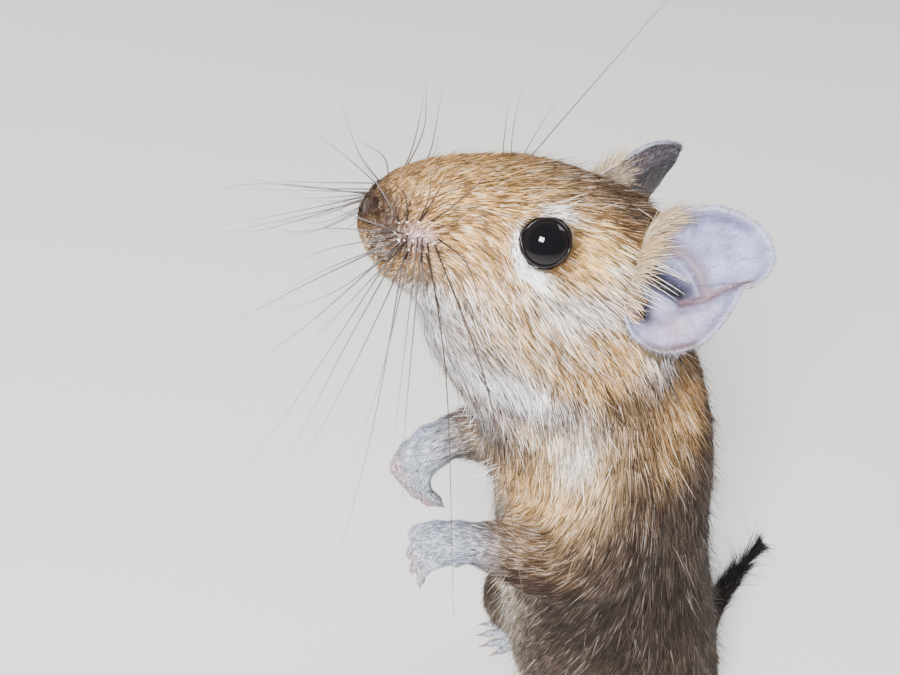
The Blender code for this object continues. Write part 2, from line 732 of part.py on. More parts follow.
def make_head(finishes):
    """Head, muzzle, nose, lower jaw, eyes and ears."""
    place = head_matrix()
    whole = head_skin()
    skull = cut_plane(whole, NECK_CUT, True, "head")
    remove(whole)
    far = 60.0
    ears = []
    for side in (1, -1):
        ear = boolean(ear_shell(side), grown(skull, GAP), "DIFFERENCE")
        ears.append(finish_node(largest_shell(ear), "ear_left" if side > 0 else "ear_right", finishes["ear"]))
    cleft = place @ frame_from(LIP_CLEFT, LIP_CLEFT_WAY, (1, 0, 0))
    boolean(skull, ball_object("cleft", cleft, LIP_CLEFT_RADII, 10), "DIFFERENCE")
    chin = place @ Matrix.Translation(JAW_CENTRE)
    jaw = take(skull, "lower_jaw", ball_region(chin, JAW_RADII, 20))
    jaw.data.transform(chin @ Matrix.Diagonal((*JAW_INSET, 1.0)) @ chin.inverted())
    nose = take(skull, "nose", block_region(place, (-far, -far, -far), (far, NOSE_CUT / MM, far)))
    muzzle = take(skull, "muzzle", block_region(place, (-far, -far, -far), (far, MUZZLE_CUT / MM, far)))
    for side in (1, -1):
        pit = place @ frame_from(mirrored(NOSTRIL, side), (0.62 * side, -0.55, 0.5), (side, 0, 0))
        boolean(nose, ball_object("pit", pit, [0.55 * MM, 1.0 * MM, 1.5 * MM], 8), "DIFFERENCE")
        boolean(skull, eyelids(side), "UNION")
        socket = place @ Matrix.Translation(mirrored(EYE_CENTRE, side))
        boolean(skull, ball_object("socket", socket, [EYE_RADIUS + GAP] * 3, 16), "DIFFERENCE")
        eyeball("eye_left" if side > 0 else "eye_right", side, finishes["eye"])
        whiskers("whiskers_left" if side > 0 else "whiskers_right", side, muzzle, finishes["pad"])
    finish_node(largest_shell(skull), "head", finishes["coat"])
    finish_node(largest_shell(nose), "nose", finishes["nose"])
    finish_node(jaw, "lower_jaw", finishes["pale"])
    finish_node(muzzle, "muzzle", finishes["coat"])


def digit(points, radius):
    """A finger or toe that thins a little between its root and its pad."""
    return tube_object("digit", [(point, radius * share) for point, share in zip(points, (1.0, 0.9, 0.98))],
                       segments=5, steps=1)


def claw(start, way, length, radius):
    """A short claw that narrows to its point."""
    bm = bmesh.new()
    place = frame_from((start + way * (length * 0.4)) * MM, way, (1, 0.3, 0.2))
    bmesh.ops.create_cone(bm, cap_ends=True, segments=6, radius1=radius * MM, radius2=radius * 0.25 * MM,
                          depth=length * 1.2 * MM, matrix=place)
    return add_object("claw", bm)


def forepaw(name, hand, finish, before):
    """A hand bent over at the wrist: palm, four fingers, a stub of a thumb and claws."""
    wrist, knuckles, middle, tip = (Vector(point) for point in hand[:4])
    across = Vector(hand[4]).normalized()
    along = (wrist - Vector(before)).normalized()
    palm = tube_object("palm", (
        (tuple(wrist - along * 1.0), PALM_RADIUS * 0.95),
        (tuple(wrist.lerp(knuckles, 0.5)), PALM_RADIUS * 1.02),
        (tuple(knuckles), PALM_RADIUS * 0.95),
    ), segments=14, steps=2, flatten=0.78, side_hint=across)
    pieces = [palm]
    for index in range(4):
        spread = (index - 1.5) / 1.5
        reach = 1.0 if index in (1, 2) else 0.82
        root = knuckles + across * (spread * FINGER_SPREAD)
        bend = root + (middle - knuckles) * reach + across * (0.5 * spread)
        end = root + (tip - knuckles) * reach + across * (0.9 * spread)
        back = (root - bend).normalized()
        pieces.append(digit((tuple(root + back * 1.2), tuple(bend), tuple(end)), FINGER_RADIUS))
        pieces.append(claw(end, (end - bend).normalized(), 2.2, 0.55))
    thumb = wrist.lerp(knuckles, 0.45) + across * (PALM_RADIUS * 0.75)
    down = (tip - wrist).normalized()
    pieces.append(digit((tuple(thumb - across), tuple(thumb + across * 0.4),
                         tuple(thumb + across * 0.7 + down * 1.6)), FINGER_RADIUS * 0.8))
    paw = fuse(name, pieces)
    cut = cut_plane(paw, (wrist, along), True, name)
    remove(paw)
    return finish_node(cut, name, finish)


def foot_frame(side):
    """The heel on the floor, the way ahead and the way across for one hind foot, in millimetres."""
    heel = Vector((HEEL[0] * side, HEEL[1], 0.0))
    ahead = Vector((math.sin(FOOT_TURN) * side, -math.cos(FOOT_TURN), 0.0))
    across = Vector((math.cos(FOOT_TURN) * side, math.sin(FOOT_TURN), 0.0))
    return heel, ahead, across


def foot_base(side, grow=0.0):
    """Sole and hock of a hind foot up to the ankle, grown as asked."""
    heel, ahead, _ = foot_frame(side)
    sole = tube_object("sole", [
        (tuple(heel + ahead * (INSTEP * share) + Vector((0, 0, height))), radius + grow)
        for share, height, radius in SOLE_POINTS
    ], segments=12, steps=1, flatten=0.7)
    hock = tube_object("hock", [
        (tuple(heel + Vector((0, -0.6, height))), HOCK_RADIUS + grow) for height in (3.4, ANKLE_HEIGHT + 4.0)
    ], segments=12, steps=1)
    base = fuse("base", [sole, hock])
    cut = cut_plane(base, ((0, 0, ANKLE_HEIGHT + grow), (0, 0, 1)), False, "base")
    remove(base)
    return cut


def hind_foot(name, side, finish):
    """A long flat foot on the floor: sole, hock, five toes and their claws."""
    heel, ahead, across = foot_frame(side)
    pieces = [foot_base(side)]
    for index, reach in enumerate(TOE_REACH):
        spread = (index - 2) / 2
        length = FOOT_LENGTH * reach
        root = heel + ahead * (INSTEP - 1.4) + across * (spread * 3.5)
        way = (ahead + across * (0.16 * spread)).normalized()
        low, raised = Vector((0, 0, TOE_RADIUS * 0.72)), Vector((0, 0, TOE_RADIUS * 1.5))
        tip = root + way * length * 0.86 + low
        pieces.append(digit((tuple(root + low * 1.6), tuple(root + way * length * 0.5 + raised), tuple(tip)),
                            TOE_RADIUS))
        pieces.append(claw(tip, (way - Vector((0, 0, 0.12))).normalized(), 3.2, 0.6))
    foot = floor_cut(fuse(name, pieces), name)
    return finish_node(foot, name, finish)


def lock(root, way, up, length, width):
    """A flat tapered lock of long hair, five sided."""
    bm = bmesh.new()
    across = way.cross(up).normalized()
    rings = []
    for share, wide, thick in ((0.0, 0.8, 1.0), (0.5, 1.0, 0.9), (1.0, 0.16, 0.3)):
        middle = root + way * (length * share)
        rings.append(oval(bm, middle * MM, across, up, width * wide * MM, width * 0.45 * thick * MM,
                          width * 0.45 * thick * MM, 5))
    bridge(bm, rings)
    return add_object("lock", bm)


def tail_cut(index):
    """The plane across the tail at one of its points, facing its tip."""
    before, after = Vector(TAIL_POINTS[index - 1][0]), Vector(TAIL_POINTS[index + 1][0])
    return Vector(TAIL_POINTS[index][0]), (after - before).normalized()


def make_tail(finishes):
    """Tail in lengths from the rump, with a brush of long hair at its end."""
    rng = random.Random(TUFT_SEED)
    whole = floor_cut(tube_object("tail", TAIL_POINTS, segments=14, steps=3), "tail")
    cuts = [tail_cut(index) for index in TAIL_CUTS]
    for name, low, high in (("tail_base", 0, 1), ("tail_middle", 1, 2)):
        upper = cut_plane(whole, cuts[low], True, "stretch")
        piece = cut_plane(upper, cuts[high], False, name)
        remove(upper)
        finish_node(piece, name, finishes["tail"])
    core = cut_plane(whole, cuts[2], True, "core")
    remove(whole)
    start, end = Vector(TAIL_POINTS[-3][0]), Vector(TAIL_POINTS[-1][0])
    way = (end - start).normalized()
    side = Vector((way.y, -way.x, 0)).normalized()
    pieces = [core]
    for index in range(TUFT_LOCKS):
        share = index / TUFT_LOCKS
        turn = index * math.radians(137.5)
        out = side * math.cos(turn) + Vector((0, 0, 1)) * math.sin(turn)
        root = start.lerp(end, 0.05 + 0.95 * share) + out * 0.9
        lift = 0.10 + 0.10 * rng.random() if out.z > -0.2 else 0.02
        length = LOCK_LENGTH * (0.75 + 0.25 * rng.random())
        lie = (way + out * lift).normalized()
        root.z = max(root.z, 1.3)
        drop = root.z + lie.z * length
        if drop < 0.8:
            lie = (lie + Vector((0, 0, (0.8 - drop) / length))).normalized()
        pieces.append(lock(root, lie, out, length, LOCK_WIDTH))
    tuft = fuse("tail_brush", pieces)
    cut = cut_plane(tuft, cuts[2], True, "tail_brush")
    remove(tuft)
    finish_node(floor_cut(cut, "tail_brush"), "tail_brush", finishes["tail"])


def make_arm(body, word, arm, hand, finishes):
    """Part one arm from the body and add its hand."""
    before, wrist = metres(arm[-2][0]), metres(arm[-1][0])
    beyond = frame_from(wrist, wrist - before, (0, 0, 1))
    half_gap = GAP / 2 / MM
    boolean(body, block_region(beyond, (-6, -6, -half_gap), (6, 6, 12))(0.0), "DIFFERENCE")
    forearm = take(body, "forearm", limb_region(arm[2:], 1.16))
    finish_node(forearm, f"forearm_{word}", finishes["pale"])
    upper = take(body, "upper_arm", limb_region(arm[:3], 1.12))
    finish_node(upper, f"upper_arm_{word}", finishes["coat"])
    forepaw(f"forepaw_{word}", hand, finishes["foot"], arm[-2][0])


def make_leg(body, word, side, finishes):
    """Part one leg from the body and add its foot."""
    leg = LEG_LEFT if side > 0 else mirrored_limb(LEG_LEFT)
    boolean(body, foot_base(side, GAP / MM), "DIFFERENCE")
    thigh = take(body, "thigh", limb_region(leg[:3], 1.02, 3.0))
    shank = take(body, "shank", limb_region(leg[3:6], 1.16))
    finish_node(thigh, f"thigh_{word}", finishes["coat"])
    finish_node(shank, f"shank_{word}", finishes["coat"])
    hind_foot(f"hind_foot_{word}", side, finishes["foot"])


def make_body(finishes):
    """Neck, trunk, arms, legs and tail."""
    body = floor_cut(body_skin(), "body")
    cut = cut_plane(body, NECK_CUT, False, "body")
    remove(body)
    body = cut
    make_tail(finishes)
    point, way = tail_cut(TAIL_CUTS[0])
    behind = frame_from(point * MM, way, (0, 0, 1))
    remove(take(body, "scrap", block_region(behind, (-9, -9, -GAP / 2 / MM), (9, 9, 30))))
    make_arm(body, "left", ARM_LEFT, HAND_LEFT, finishes)
    make_arm(body, "right", ARM_RIGHT, HAND_RIGHT, finishes)
    make_leg(body, "left", 1, finishes)
    make_leg(body, "right", -1, finishes)
    stretches = (
        ("neck", CHEST_CUT, None, "coat"),
        ("chest", BELLY_CUT, CHEST_CUT, "coat"),
        ("belly", RUMP_CUT, BELLY_CUT, "pale"),
        ("rump", None, RUMP_CUT, "coat"),
    )
    for name, low, high, finish in stretches:
        piece = cut_plane(body, high, False, name) if high else copy_of(body, name)
        if low:
            upper = cut_plane(piece, low, True, name)
            remove(piece)
            piece = upper
        finish_node(largest_shell(piece), name, finishes[finish])
    remove(body)


def centre_on_floor():
    """Hang everything on one empty, set so that the origin is the middle of the box it stands in, on the floor."""
    meshes = [obj for obj in bpy.context.scene.objects if obj.type == "MESH" and not obj.hide_render]
    corners = np.array([vert.co for obj in meshes for vert in obj.data.vertices])
    low, high = corners.min(0), corners.max(0)
    stance = bpy.data.objects.new("stance", None)
    bpy.context.scene.collection.objects.link(stance)
    stance.location = (-(low[0] + high[0]) / 2, -(low[1] + high[1]) / 2, -low[2])
    print("stance at", [round(value, 6) for value in stance.location])
    for obj in meshes:
        obj.parent = stance


def make_finishes():
    """The materials by name."""
    return {
        "coat": material("coat", (0.46, 0.31, 0.17), 0.85),
        "pale": material("pale_coat", (0.62, 0.54, 0.42), 0.85),
        "foot": material("foot_skin", (0.58, 0.55, 0.54), 0.6),
        "ear": material("ear_skin", (0.45, 0.40, 0.42), 0.55),
        "nose": material("nose_skin", (0.35, 0.22, 0.20), 0.4),
        "eye": material("eye_black", (0.01, 0.01, 0.012), 0.05),
        "pad": material("whisker_pad", (0.62, 0.48, 0.42), 0.5),
        "tail": material("tail_coat", (0.045, 0.035, 0.035), 0.8),
    }


def main():
    """Build every part."""
    clear_scene()
    finishes = make_finishes()
    make_head(finishes)
    make_body(finishes)
    centre_on_floor()


if __name__ == "__main__":
    main()
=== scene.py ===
"""Looks of a life-size degu standing up on its hind feet.

One skin covers the flesh, with ears, lids and claws of its own, and a coat of fine solid tufts lies over it.
Body places are in millimetres: x to the animal's left, y behind it, z up, with the feet on z = 0.
Head places are in the head's own millimetres: x to its left, y towards the neck, z towards the crown.
"""

import logging
import math
from dataclasses import dataclass, field
from enum import Enum
from functools import cache
from typing import Any, Iterable, Sequence

import bmesh
import bpy
import numpy as np
from mathutils import Matrix, Vector, noise
from mathutils.bvhtree import BVHTree
from mathutils.kdtree import KDTree


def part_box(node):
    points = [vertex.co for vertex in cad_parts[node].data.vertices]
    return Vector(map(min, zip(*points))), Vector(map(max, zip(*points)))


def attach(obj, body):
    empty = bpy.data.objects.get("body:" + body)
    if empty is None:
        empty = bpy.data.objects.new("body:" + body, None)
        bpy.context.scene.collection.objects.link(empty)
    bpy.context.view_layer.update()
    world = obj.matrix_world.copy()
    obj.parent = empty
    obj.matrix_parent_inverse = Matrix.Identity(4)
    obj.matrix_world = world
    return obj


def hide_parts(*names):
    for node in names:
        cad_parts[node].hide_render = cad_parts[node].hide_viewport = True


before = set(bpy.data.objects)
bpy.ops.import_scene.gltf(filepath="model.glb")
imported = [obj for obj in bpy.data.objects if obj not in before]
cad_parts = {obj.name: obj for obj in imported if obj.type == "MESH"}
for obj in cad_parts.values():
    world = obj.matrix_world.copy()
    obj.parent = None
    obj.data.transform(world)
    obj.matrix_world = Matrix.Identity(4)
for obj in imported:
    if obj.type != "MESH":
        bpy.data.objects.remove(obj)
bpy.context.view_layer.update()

LOG = logging.getLogger("degu")
MM = 0.001
BODY = "root"
Array = np.ndarray
Triple = tuple[float, float, float]


class Side(Enum):
    """A side of the animal, as the sign of its x."""

    LEFT = 1
    RIGHT = -1

    @property
    def word(self) -> str:
        """The side's name in a piece's name."""
        return self.name.lower()


# Plain geometry


def unit(rows: Array) -> Array:
    """Vectors, one a row, brought to length one."""
    return rows / np.maximum(np.linalg.norm(rows, axis=-1, keepdims=True), 1e-9)


def smoothstep(low: float, high: float, value: Array) -> Array:
    """A soft step from 0 at the low value to 1 at the high one."""
    share = np.clip((value - low) / (high - low), 0.0, 1.0)
    return share * share * (3.0 - 2.0 * share)


def bell(distance: Array, width: float) -> Array:
    """A bell curve, 1 at no distance and about a third at its width."""
    return np.exp(-((distance / width) ** 2))


def to_line(places: Array, line: Sequence[Sequence[float]]) -> tuple[Array, Array]:
    """The nearest place on a bent line.

    Args:
        places: the places to measure from, one a row.
        line: the line's points in order.

    Returns:
        The distance to the line, and how far along the line, from 0 to 1, the nearest place lies.
    """
    points = np.array(line, float)
    best = np.full(len(places), np.inf)
    share = np.zeros(len(places))
    for index, (start, end) in enumerate(zip(points, points[1:])):
        way = end - start
        along = np.clip(((places - start) @ way) / max(way @ way, 1e-12), 0.0, 1.0)
        gap = np.linalg.norm(places - start - along[:, None] * way, axis=1)
        near = gap < best
        best[near] = gap[near]
        share[near] = (index + along[near]) / (len(points) - 1)
    return best, share


def spline(points: Sequence[Sequence[float]], steps: int) -> Array:
    """A smooth line through points.

    Args:
        points: the points in order.
        steps: pieces made of each span.

    Returns:
        The line's points, one a row.
    """
    known = np.array(points, float)
    padded = np.vstack([2 * known[0] - known[1], known, 2 * known[-1] - known[-2]])
    rows = []
    for index in range(len(known) - 1):
        a, b, c, d = padded[index:index + 4]
        for step in range(steps):
            t = step / steps
            rows.append(0.5 * (2 * b + (c - a) * t + (2 * a - 5 * b + 4 * c - d) * t * t
                               + (3 * b - a - 3 * c + d) * t ** 3))
    rows.append(known[-1])
    return np.array(rows)


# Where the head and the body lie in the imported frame


@dataclass(frozen=True)
class Pose:
    """The head's own axes, and the shift that stands the body on the frame's origin."""

    roll: float = -13.5
    pitch: float = -20.6
    yaw: float = -2.3
    centre: Triple = (0.0, -40.0, 157.0)
    eye: Triple = (8.7, -2.9, 3.9)

    @cache
    def turn(self) -> Array:
        """The head's turn as a 3 by 3 matrix."""
        turns = ((self.yaw, "Z"), (self.pitch, "X"), (self.roll, "Y"))
        yaw, pitch, roll = (Matrix.Rotation(math.radians(angle), 3, axis) for angle, axis in turns)
        return np.array(yaw @ pitch @ roll)

    @cache
    def shift(self) -> Array:
        """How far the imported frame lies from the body's own places, read from the middle of the two eyes."""
        boxes = [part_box(f"eye_{side.word}") for side in Side]
        middle = np.mean([np.array(corner) for box in boxes for corner in box], axis=0) / MM
        between = np.array([0.0, self.eye[1], self.eye[2]])
        return middle - self.turn() @ between - np.array(self.centre)

    def head_to_frame(self, places: Array) -> Array:
        """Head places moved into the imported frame, in millimetres."""
        return np.atleast_2d(places) @ self.turn().T + np.array(self.centre) + self.shift()

    def frame_to_head(self, places: Array) -> Array:
        """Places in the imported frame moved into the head's own axes."""
        return (np.atleast_2d(places) - np.array(self.centre) - self.shift()) @ self.turn()

    def matrix(self) -> Matrix:
        """The head's axes as a matrix in metres."""
        place = (np.array(self.centre) + self.shift()) * MM
        return Matrix.Translation(Vector(place)) @ Matrix(self.turn().tolist()).to_4x4()


POSE = Pose()


# Shader graphs written as Python


class Graph:
    """The node tree of one material."""

    octaves: float = 4.0

    def __init__(self, name: str) -> None:
        """Start a Principled material.

        Args:
            name: the material's name.
        """
        self.material = bpy.data.materials.new(name)
        self.material.use_nodes = True
        self.tree = self.material.node_tree
        self.shader = self.tree.nodes["Principled BSDF"]

    def feed(self, socket: bpy.types.NodeSocket, value: Any) -> None:
        """Set a socket to a number or colour, or link a wire to it."""
        if isinstance(value, Wire):
            self.tree.links.new(value.socket, socket)
        else:
            socket.default_value = value

    def wire(self, kind: str, output: str, settings: dict[str, Any] | None = None, **values: Any) -> "Wire":
        """Add a node and return one of its outputs.

        Args:
            kind: the node's type.
            output: the output's name.
            settings: its settings, set first.
            values: its inputs by name, as numbers, colours or wires.

        Returns:
            The output as a wire.
        """
        made = self.tree.nodes.new(kind)
        for key, value in (settings or {}).items():
            setattr(made, key, value)
        for key, value in values.items():
            self.feed(made.inputs[key], value)
        return Wire(self, made.outputs[output])

    def attribute(self, name: str, output: str = "Color") -> "Wire":
        """A named attribute of the mesh."""
        settings = {"attribute_name": name, "attribute_type": "GEOMETRY"}
        return self.wire("ShaderNodeAttribute", output, settings)

    def noise(self, scale: float) -> "Wire":
        """Noise around one half over the object's own coordinates, at a scale per metre."""
        place = self.wire("ShaderNodeTexCoord", "Object")
        return self.wire("ShaderNodeTexNoise", "Fac", Vector=place, Scale=scale, Detail=self.octaves)

    def mix(self, share: Any, first: Any, second: Any) -> "Wire":
        """A colour mixed from two.

        Args:
            share: how much of the second, as a number or wire.
            first: a colour or wire.
            second: a colour or wire.

        Returns:
            The mixed colour.
        """
        made = self.tree.nodes.new("ShaderNodeMix")
        made.data_type = "RGBA"
        self.feed(made.inputs[0], share)
        self.feed(made.inputs[6], first)
        self.feed(made.inputs[7], second)
        return Wire(self, made.outputs[2])

    def bump(self, height: "Wire", distance: float, strength: float = 1.0) -> None:
        """Raise the surface by a wire, up to a distance in metres."""
        normal = self.wire("ShaderNodeBump", "Normal", Height=height, Distance=distance, Strength=strength)
        self.finish(Normal=normal)

    def finish(self, **values: Any) -> None:
        """Set or link the shader's own sockets by name, with underscores for spaces."""
        for key, value in values.items():
            self.feed(self.shader.inputs[key.replace("_", " ")], value)


class Wire:
    """An output socket that subtracts and multiplies like a number."""

    def __init__(self, graph: Graph, socket: bpy.types.NodeSocket) -> None:
        """Wrap a socket of a graph."""
        self.graph = graph
        self.socket = socket

    def maths(self, operation: str, first: Any, second: Any) -> "Wire":
        """One Math node on two numbers or wires."""
        made = self.graph.tree.nodes.new("ShaderNodeMath")
        made.operation = operation
        self.graph.feed(made.inputs[0], first)
        self.graph.feed(made.inputs[1], second)
        return Wire(self.graph, made.outputs[0])

    def __rsub__(self, other: Any) -> "Wire":
        """A number less this wire."""
        return self.maths("SUBTRACT", other, self)

    def __mul__(self, other: Any) -> "Wire":
        """The product."""
        return self.maths("MULTIPLY", self, other)


# Finishes


@dataclass(frozen=True)
class TuftFinish:
    """Hair that takes its colour from the tufts themselves."""

    name: str
    roughness: float = 0.55
    gloss: float = 0.10

    def material(self) -> bpy.types.Material:
        """Make the material."""
        graph = Graph(self.name)
        graph.finish(Base_Color=graph.attribute("tint"), Roughness=self.roughness,
                     Specular_IOR_Level=self.gloss)
        return graph.material


@dataclass(frozen=True)
class SkinFinish:
    """Skin in the tones painted on it, moist where it is marked damp."""

    name: str = "hide"
    pores: float = 2600.0
    relief: float = 0.00009

    def material(self) -> bpy.types.Material:
        """Make the material."""
        graph = Graph(self.name)
        pores = graph.noise(self.pores)
        tint = graph.attribute("tint")
        shade = graph.mix(pores * 0.5, tint, graph.mix(0.45, tint, (0.02, 0.014, 0.012, 1.0)))
        damp = graph.attribute("damp", "Fac")
        graph.finish(Base_Color=shade, Roughness=0.62 - damp * 0.34, Specular_IOR_Level=0.12)
        graph.bump(pores, self.relief, 0.7)
        return graph.material


@dataclass(frozen=True)
class EarFinish:
    """Thin bare skin with a fine grain."""

    name: str = "ear_skin"
    grain: float = 3200.0
    relief: float = 0.00007

    def material(self) -> bpy.types.Material:
        """Make the material."""
        graph = Graph(self.name)
        grain = graph.noise(self.grain)
        tint = graph.attribute("tint")
        shade = graph.mix(grain * 0.4, tint, graph.mix(0.4, tint, (0.12, 0.08, 0.09, 1.0)))
        graph.finish(Base_Color=shade, Roughness=0.5, Specular_IOR_Level=0.35, Subsurface_Weight=0.12,
                     Subsurface_Radius=(1.0, 0.45, 0.4), Subsurface_Scale=0.0006)
        graph.bump(grain, self.relief, 0.8)
        return graph.material


@dataclass(frozen=True)
class PlainFinish:
    """One colour, with a wet coat over it if asked."""

    name: str
    colour: Triple
    roughness: float
    coat: float = 0.0
    gloss: float = 0.5

    def material(self) -> bpy.types.Material:
        """Make the material."""
        graph = Graph(self.name)
        graph.finish(Base_Color=(*self.colour, 1.0), Roughness=self.roughness, Coat_Weight=self.coat,
                     Coat_Roughness=0.02, Specular_IOR_Level=self.gloss)
        return graph.material


# Meshes and pieces


def arrays_of(mesh: bpy.types.Mesh) -> tuple[Array, Array]:
    """The places of a mesh's vertices in millimetres, and its triangles."""
    places = np.zeros(len(mesh.vertices) * 3)
    mesh.vertices.foreach_get("co", places)
    mesh.calc_loop_triangles()
    corners = np.zeros(len(mesh.loop_triangles) * 3, np.int32)
    mesh.loop_triangles.foreach_get("vertices", corners)
    return places.reshape(-1, 3) / MM, corners.reshape(-1, 3)


def normals_of(places: Array, corners: Array) -> Array:
    """Smooth normals of a triangle mesh.

    Args:
        places: vertices, one a row.
        corners: triangles, one a row.

    Returns:
        A unit normal for each vertex.
    """
    first, second, third = (places[corners[:, index]] for index in range(3))
    faces = np.cross(second - first, third - first)
    total = np.zeros_like(places)
    for index in range(3):
        np.add.at(total, corners[:, index], faces)
    return unit(total)


@dataclass
class Web:
    """The edges of a mesh, for evening out places and values over it."""

    corners: Array
    count: int
    first: Array = field(init=False)
    second: Array = field(init=False)
    links: Array = field(init=False)

    def __post_init__(self) -> None:
        """Find each vertex's neighbours."""
        pairs = np.vstack([self.corners[:, [0, 1]], self.corners[:, [1, 2]], self.corners[:, [2, 0]]])
        pairs = np.unique(np.sort(pairs, axis=1), axis=0)
        self.first, self.second = pairs[:, 0], pairs[:, 1]
        self.links = np.maximum(np.bincount(pairs.ravel(), minlength=self.count), 1).astype(float)

    def mean(self, values: Array) -> Array:
        """The mean of each vertex's neighbours."""
        columns = []
        for column in values.reshape(self.count, -1).T:
            total = np.bincount(self.first, column[self.second], self.count)
            total += np.bincount(self.second, column[self.first], self.count)
            columns.append(total / self.links)
        return np.stack(columns, 1).reshape(values.shape)

    def even(self, values: Array, rounds: int, share: float = 0.5, keep: float = 0.0) -> Array:
        """Smooth values over the mesh.

        Args:
            values: one row a vertex.
            rounds: how often.
            share: how far towards the neighbours each time.
            keep: how far back out again each time, which keeps thin forms thick.

        Returns:
            The smoothed values.
        """
        for _ in range(rounds):
            values = values + share * (self.mean(values) - values)
            if keep:
                values = values - keep * (self.mean(values) - values)
        return values


def object_of(name: str, data: bpy.types.ID) -> bpy.types.Object:
    """Put a mesh, a camera or a light in the scene."""
    made = bpy.data.objects.new(name, data)
    bpy.context.scene.collection.objects.link(made)
    return made


def from_bmesh(name: str, bm: bmesh.types.BMesh, smooth: bool = True) -> bpy.types.Object:
    """Turn a bmesh into an object.

    Args:
        name: the object's name.
        bm: the bmesh, which is freed.
        smooth: whether its faces are shaded smooth.

    Returns:
        The new object.
    """
    mesh = bpy.data.meshes.new(name)
    bm.to_mesh(mesh)
    bm.free()
    mesh.shade_smooth() if smooth else mesh.shade_flat()
    return object_of(name, mesh)


def from_arrays(name: str, places: Array, corners: Array, smooth: bool) -> bpy.types.Object:
    """Turn arrays in millimetres into an object."""
    mesh = bpy.data.meshes.new(name)
    mesh.vertices.add(len(places))
    mesh.vertices.foreach_set("co", (places * MM).astype(np.float32).ravel())
    mesh.loops.add(corners.size)
    mesh.loops.foreach_set("vertex_index", corners.astype(np.int32).ravel())
    mesh.polygons.add(len(corners))
    mesh.polygons.foreach_set("loop_start", np.arange(0, corners.size, 3, dtype=np.int32))
    mesh.update(calc_edges=True)
    mesh.shade_smooth() if smooth else mesh.shade_flat()
    return object_of(name, mesh)


def paint(mesh: bpy.types.Mesh, colours: Array, name: str = "tint") -> None:
    """Give each vertex a colour, as an attribute."""
    layer = mesh.attributes.new(name, "FLOAT_COLOR", "POINT")
    rows = np.ones((len(mesh.vertices), 4), np.float32)
    rows[:, :3] = colours
    layer.data.foreach_set("color", rows.ravel())


def mark(mesh: bpy.types.Mesh, name: str, values: Array) -> None:
    """Give each vertex a number, as an attribute."""
    layer = mesh.attributes.new(name, "FLOAT", "POINT")
    layer.data.foreach_set("value", np.asarray(values, np.float32).ravel())


def baked(obj: bpy.types.Object) -> bpy.types.Object:
    """Apply an object's modifiers and return it."""
    graph = bpy.context.evaluated_depsgraph_get()
    mesh = bpy.data.meshes.new_from_object(obj.evaluated_get(graph))
    old = obj.data
    obj.modifiers.clear()
    obj.data = mesh
    bpy.data.meshes.remove(old)
    return obj


def unwrap(obj: bpy.types.Object) -> None:
    """Unwrap a mesh by its own shape."""
    bpy.context.view_layer.objects.active = obj
    obj.select_set(True)
    bpy.ops.object.mode_set(mode="EDIT")
    bpy.ops.mesh.select_all(action="SELECT")
    bpy.ops.uv.smart_project(angle_limit=math.radians(60), island_margin=0.004)
    bpy.ops.object.mode_set(mode="OBJECT")
    obj.select_set(False)
    obj.data.uv_layers[0].name = "OFBake"


def wear(obj: bpy.types.Object, finish: bpy.types.Material, replaced: Iterable[str] = ()) -> None:
    """Finish a piece: its material, the body it rides on and the nodes it stands for.

    Args:
        obj: the piece.
        finish: its material.
        replaced: the nodes of the frame that it stands for.
    """
    obj.data.materials.clear()
    obj.data.materials.append(finish)
    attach(obj, BODY)
    if replaced:
        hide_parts(*replaced)
    LOG.info("%s: %d triangles", obj.name, sum(len(face.vertices) - 2 for face in obj.data.polygons))


# The lie of the coat: the way and the length of its hair at known places


